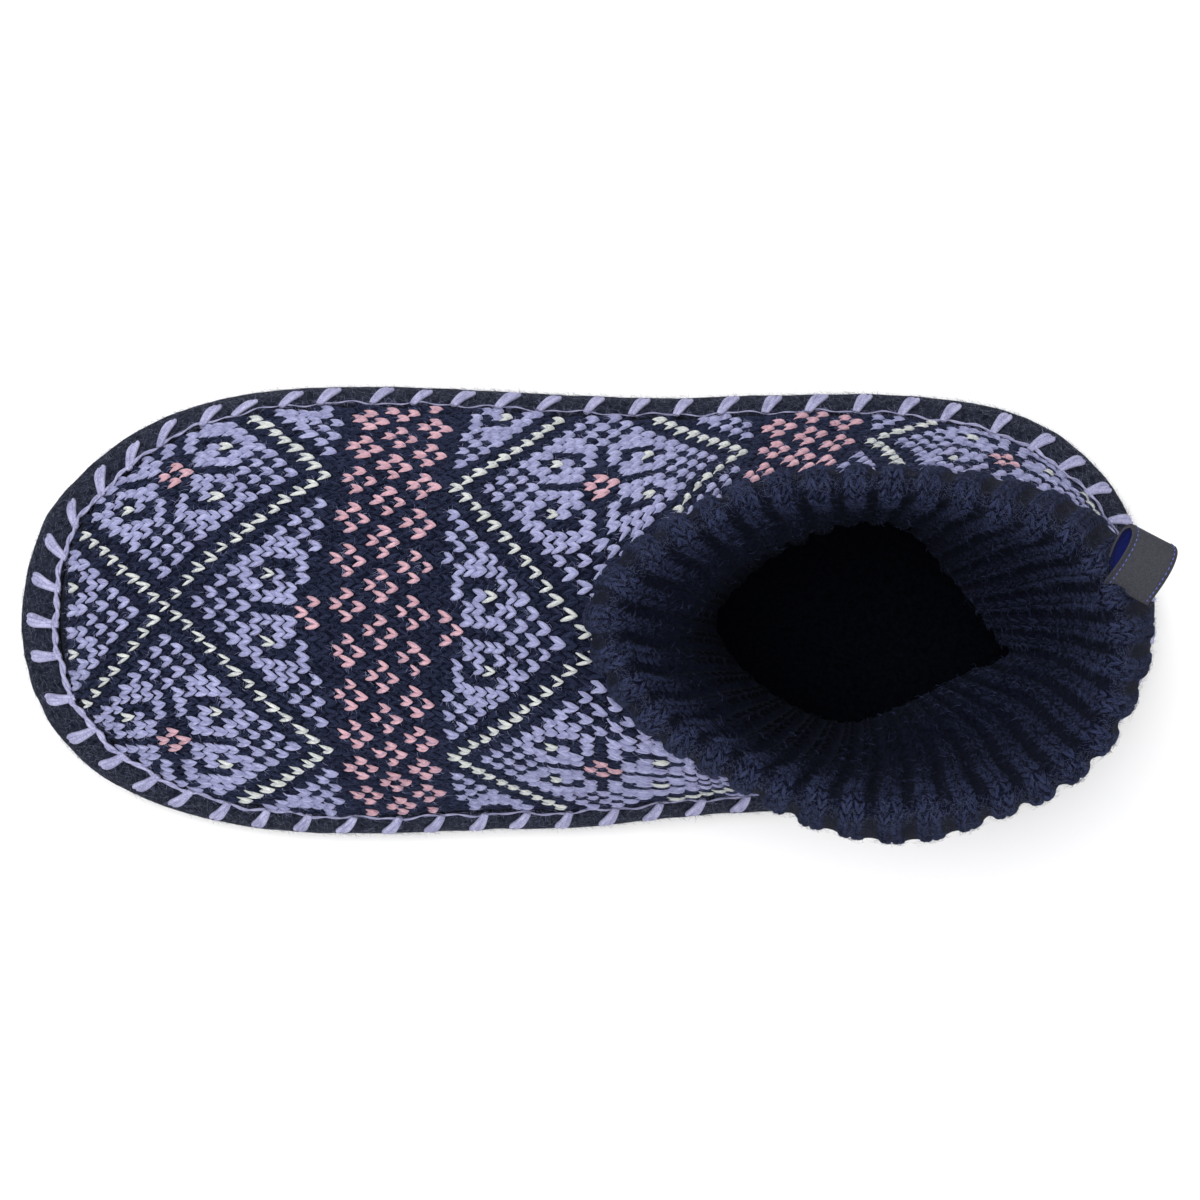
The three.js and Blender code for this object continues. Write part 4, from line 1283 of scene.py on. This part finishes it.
def rib_stitches():
    rows = 33
    share, step = [], []
    for rib in range(RIB_COUNT):
        for col in (-0.17, 0.17):
            for row in range(rows):
                share.append((rib + col) / RIB_COUNT)
                step.append((row + 0.5 + 0.12 * rng.normal()) / rows * (CUFF_STEPS - 1))
    share, step = np.array(share), np.array(step)
    n = len(share)
    row_steps = (CUFF_STEPS - 1) / rows
    base, _, _ = on_cuff(share, step)
    share = share - 0.14 / RIB_COUNT * fibre_noise(base, 55, 21)
    points = np.zeros((n, 2, len(LEG_ALONG), len(LEG_ACROSS), 3))
    jitter = rng.normal(0, 1, (n, 2))
    for leg, hand in enumerate((-1, 1)):
        along = LEG_ALONG[None, :, None]
        across = LEG_ACROSS[None, None, :]
        wide = 0.4 * LEG_HALF[None, :, None]
        c = share[:, None, None] + (hand * 0.33 * LEG_MIDDLE[None, :, None] + across * wide) / RIB_COUNT
        r = step[:, None, None] + (0.62 - 1.3 * along) * row_steps + 0 * across + 0.1 * jitter[:, :1, None]
        p, nm, h = on_cuff(*np.broadcast_arrays(c, r))
        round_off = np.sqrt(np.clip(1 - across**2, 0, 1))
        up = h + LEG_HEIGHT[None, :, None] * 0.6 * (0.3 + 0.7 * round_off) - 0.1
        up = np.where(np.abs(across) > 0.99, up - 0.2, up)
        points[:, leg] = p + nm * up[..., None]
    cell = sheet_faces(len(LEG_ALONG), len(LEG_ACROSS), flip=True)
    per = len(LEG_ALONG) * len(LEG_ACROSS)
    faces = (cell[None] + (np.arange(n * 2) * per)[:, None, None]).reshape(-1, 4)
    spread = rng.uniform(0, 60, (n, 2, 1, 1))
    u = LEG_ALONG[None, None, :, None] * 1.2 + spread
    v = LEG_ACROSS[None, None, None, :] * 0.9 + spread * 0.7
    made = build("rib_stitches", points, faces, RIB, uv=np.stack(np.broadcast_arrays(u, v), -1))
    # Painted shade on the rib stitches: dark down the lining, lightest on the rim.
    paint_shade(made, np.repeat(painted_depth_shade(share % 1, step), 2 * per))
    return made


rib_stitches()


# Fuzz: fine strands that stand off the wool


def strands(name, roots, normals, along, material, length, width, lift_by, seed):
    """Thin bent ribbons; each grows from a root, leans along and away from the surface."""
    gen = np.random.default_rng(seed)
    n = len(roots)
    angle = gen.uniform(0, 2 * math.pi, n)
    side = np.cross(normals, along)
    side /= np.maximum(np.linalg.norm(side, axis=1, keepdims=True), 1e-9)
    ahead = np.cross(side, normals)
    way = ahead * np.cos(angle)[:, None] + side * np.sin(angle)[:, None]
    across = np.cross(way, normals)
    long = length * gen.uniform(0.5, 1.5, n)
    rise = lift_by * np.abs(gen.normal(0.6, 0.5, n))
    bend = gen.normal(0, 0.5, n)
    rings = []
    for t in (0.0, 0.5, 1.0):
        p = (
            roots
            + way * (long * t)[:, None]
            + across * (long * bend * t * t)[:, None]
            + normals * (rise * math.sin(math.pi * min(t * 0.8, 0.75)) + 0.02)[:, None]
        )
        half = width * 0.5 * (1 - 0.6 * t)
        tilt = across * 0.8 + normals * 0.6
        rings.append(np.stack([p - tilt * half, p + tilt * half], 1))
    points = np.stack(rings, 1)
    cell = sheet_faces(3, 2)
    faces = (cell[None] + (np.arange(n) * 6)[:, None, None]).reshape(-1, 4)
    return build(name, points, faces, material)


def knit_fuzz():
    gen = np.random.default_rng(31)
    light = [s for k in "LWP" for s in SPOTS[k]]
    for name, spots, material, each, long, wide, lift_by, seed in (
        ("knit_haze_light", light, LIGHT_FUZZ, 13, 1.0, 0.075, 0.3, 41),
        ("knit_haze_dark", SPOTS["N"], DARK_FUZZ, 8, 1.3, 0.07, 0.22, 42),
    ):
        roots, normals = [], []
        for side in SIDES:
            own = [s for s in spots if s[0] == side]
            row = np.repeat(np.array([s[1] for s in own], float), each)
            col = np.repeat(np.array([s[2] for s in own], float), each)
            row += gen.uniform(-0.5, 0.5, len(row))
            col += gen.uniform(-0.5, 0.5, len(col))
            p, nm = on_knit(side, row, col)
            good = ~np.isnan(p).any(axis=1) & ~np.isnan(nm).any(axis=1)
            roots.append(p[good])
            normals.append(nm[good])
        roots, normals = np.concatenate(roots), np.concatenate(normals)
        along = np.tile([1.0, 0, 0], (len(roots), 1))
        strands(name, roots, normals, along, material, long, wide, lift_by, seed)


knit_fuzz()
strands("edging_haze", *EDGING_ROOTS, LIGHT_FUZZ, 1.1, 0.06, 0.35, 71)


def cuff_fuzz():
    gen = np.random.default_rng(51)
    n = 24000
    rib = gen.integers(0, RIB_COUNT, n)
    share = (rib + np.clip(gen.normal(0, 0.2, n), -0.45, 0.45)) / RIB_COUNT
    step = gen.uniform(0, CUFF_STEPS - 1, n)
    # Strands are kept mostly where the painted shade is light, so the painted-dark lining stays bare.
    lit = painted_depth_shade(share % 1, step) ** 1.6 > gen.uniform(0, 1, n)
    share, step = share[lit], step[lit]
    n = len(share)
    base, _, _ = on_cuff(share, step)
    share = share - 0.14 / RIB_COUNT * fibre_noise(base, 55, 21)
    p, nm, h = on_cuff(share, step)
    p = p + nm * (h + 0.2)[:, None]
    strands("collar_haze", p, nm, np.tile([0, 0, 1.0], (n, 1)), RIB_FUZZ, 1.25, 0.065, 0.55, 52)
    # Extra strands massed along the crest: the rim's own fuzz, set there also to paint the crest's light line, a
    # painted highlight.
    n = 6000
    share = gen.uniform(0, 1, n)
    step = CUFF_RIM[(share * CUFF_ROUND).astype(int) % CUFF_ROUND] + gen.normal(0.5, 1.4, n)
    p, nm, h = on_cuff(share, step)
    p = p + nm * (h + 0.3)[:, None]
    strands("rim_haze", p, nm, np.tile([0, 0, 1.0], (n, 1)), RIM_FUZZ, 1.0, 0.055, 0.5, 53)


cuff_fuzz()


def felt_fuzz():
    gen = np.random.default_rng(61)
    roots, normals, along = [], [], []
    for k in range(9000):
        side = SIDES[k % 2]
        s, t = gen.uniform(0, 1), gen.uniform(-0.2, 1.0)
        o = outline_at(side, s)
        if t < 0:
            inset, z = SOLE_ROUNDING * 0.3 * -t, WIDEST_HEIGHT * (1 + t * 1.6)
            normals.append(np.array([*(-o[2]), -0.1]))
        else:
            inset, z = band_curve(o[1], t, 0.05)
            normals.append(np.array([*(-o[2] * (1.05 - t)), 0.3 + t]))
        roots.append(inset_point(o, inset, z))
        along.append([o[2][1], -o[2][0], 0])
    normals = np.array(normals)
    normals /= np.linalg.norm(normals, axis=1, keepdims=True)
    return strands("felt_haze", np.array(roots), normals, np.array(along), FELT_FUZZ, 1.4, 0.06, 0.1, 62)


felt_fuzz()


# Tape loop


def tab():
    """The tape is sewn into the collar's side and its fold points along the rim."""
    seat = np.array([-111.6, -9.6, 105.8])
    out = np.array([-0.438, -0.899, 0.0])
    axis = np.array([-0.85, 0.36, -0.39])
    axis -= out * (axis @ out)
    axis /= np.linalg.norm(axis)
    across = np.cross(axis, out)
    half, reach = TAB_OPENING / 2, TAB_REACH * 1.15
    path = [
        (-0.5 * reach, 0.12 * half), (-0.3 * reach, 0.5 * half), (-0.05 * reach, 0.86 * half), (0.22 * reach, half),
        (0.42 * reach, 0.72 * half), (0.5 * reach, 0), (0.42 * reach, -0.72 * half), (0.22 * reach, -half),
        (-0.05 * reach, -0.86 * half), (-0.3 * reach, -0.5 * half), (-0.5 * reach, -0.12 * half),
    ]
    line = through_points(path, False, 6)
    run = np.gradient(line, axis=0)
    run /= np.linalg.norm(run, axis=1, keepdims=True)
    normal = np.stack([run[:, 1], -run[:, 0]], 1)
    widths = np.linspace(-0.5, 0.5, 9) * TAB_WIDTH
    faces_of = []
    for shift in (-TAB_THICKNESS / 2, TAB_THICKNESS / 2):
        p = line + normal * shift
        grid = seat + out * p[:, None, :1] + across * p[:, None, 1:2] + axis * widths[None, :, None]
        faces_of.append(grid)
    front, back = faces_of
    n, m = front.shape[:2]
    one = sheet_faces(n, m)
    points = np.concatenate([front.reshape(-1, 3), back.reshape(-1, 3)])
    k = n * m
    faces = one.tolist() + (one[:, ::-1] + k).tolist()
    edge = [i * m for i in range(n)], [i * m + m - 1 for i in range(n)]
    for line_at in edge:
        for a, b in zip(line_at, line_at[1:]):
            faces.append([a, b, b + k, a + k])
    for row in (0, (n - 1) * m):
        for j in range(m - 1):
            faces.append([row + j, row + j + 1, row + j + 1 + k, row + j + k])
    made = build("tape_loop", points, faces, TAPE)
    made.data.materials.append(TAPE_BACK)
    index = np.zeros(len(made.data.polygons), int)
    index[len(one) : 2 * len(one)] = 1
    made.data.polygons.foreach_set("material_index", index)
    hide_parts("heel_tab")
    dashes = []
    for edge in (0.6, m - 1.6):
        at = seat + out * line[:, :1] + across * line[:, 1:] + axis * (edge / (m - 1) - 0.5) * TAB_WIDTH
        away = out * normal[:, :1] + across * normal[:, 1:]
        for i in range(2, n - 3, 2):
            ends = np.array([at[i], at[i + 1]]) - away[[i, i + 1]] * (TAB_THICKNESS / 2 + 0.03)
            dashes.append((ends, 0.13))
    tubes("tape_sewing", dashes, SEWING, 5)
    return made


tab()


# Floor, light and camera


def area(name, at, to, size, power, colour=(1, 1, 1)):
    light = bpy.data.lights.new(name, "AREA")
    light.shape = "DISK"
    light.size = size
    light.energy = power
    light.color = colour
    made = bpy.data.objects.new(name, light)
    made.location = at
    way = np.array(to) - np.array(at)
    made.rotation_euler = direction(way)
    bpy.context.scene.collection.objects.link(made)
    return made


def direction(way):
    from mathutils import Vector

    return Vector(way).to_track_quat("-Z", "Y").to_euler()


floor_mesh = bpy.data.meshes.new("floor")
floor_mesh.from_pydata([(-3, -3, -0.0002), (3, -3, -0.0002), (3, 3, -0.0002), (-3, 3, -0.0002)], [], [(0, 1, 2, 3)])
floor_material, _, _, floor_shader = shader("floor", (0.93, 0.93, 0.935), rough=0.6, sheen=0)
floor_mesh.materials.append(floor_material)
floor = bpy.data.objects.new("floor", floor_mesh)
bpy.context.scene.collection.objects.link(floor)

area("key", (0.3, -0.28, 1.2), (0, 0, 0.03), 1.3, 16.5)
area("fill", (-0.6, 0.6, 0.95), (0, 0, 0.03), 1.2, 5.5)

world = bpy.data.worlds.new("studio")
world.use_nodes = True
world.node_tree.nodes["Background"].inputs["Color"].default_value = (1, 1, 1, 1)
world.node_tree.nodes["Background"].inputs["Strength"].default_value = 0.68
bpy.context.scene.world = world
bpy.context.scene.view_settings.view_transform = "Standard"

camera_data = bpy.data.cameras.new("camera")
camera_data.lens = 162.1
camera_data.sensor_width = 36
camera = bpy.data.objects.new("camera", camera_data)
camera.location = (-0.0025, -0.0025, 1.2)
camera.rotation_euler = (0, 0, math.pi)
bpy.context.scene.collection.objects.link(camera)
bpy.context.scene.camera = camera
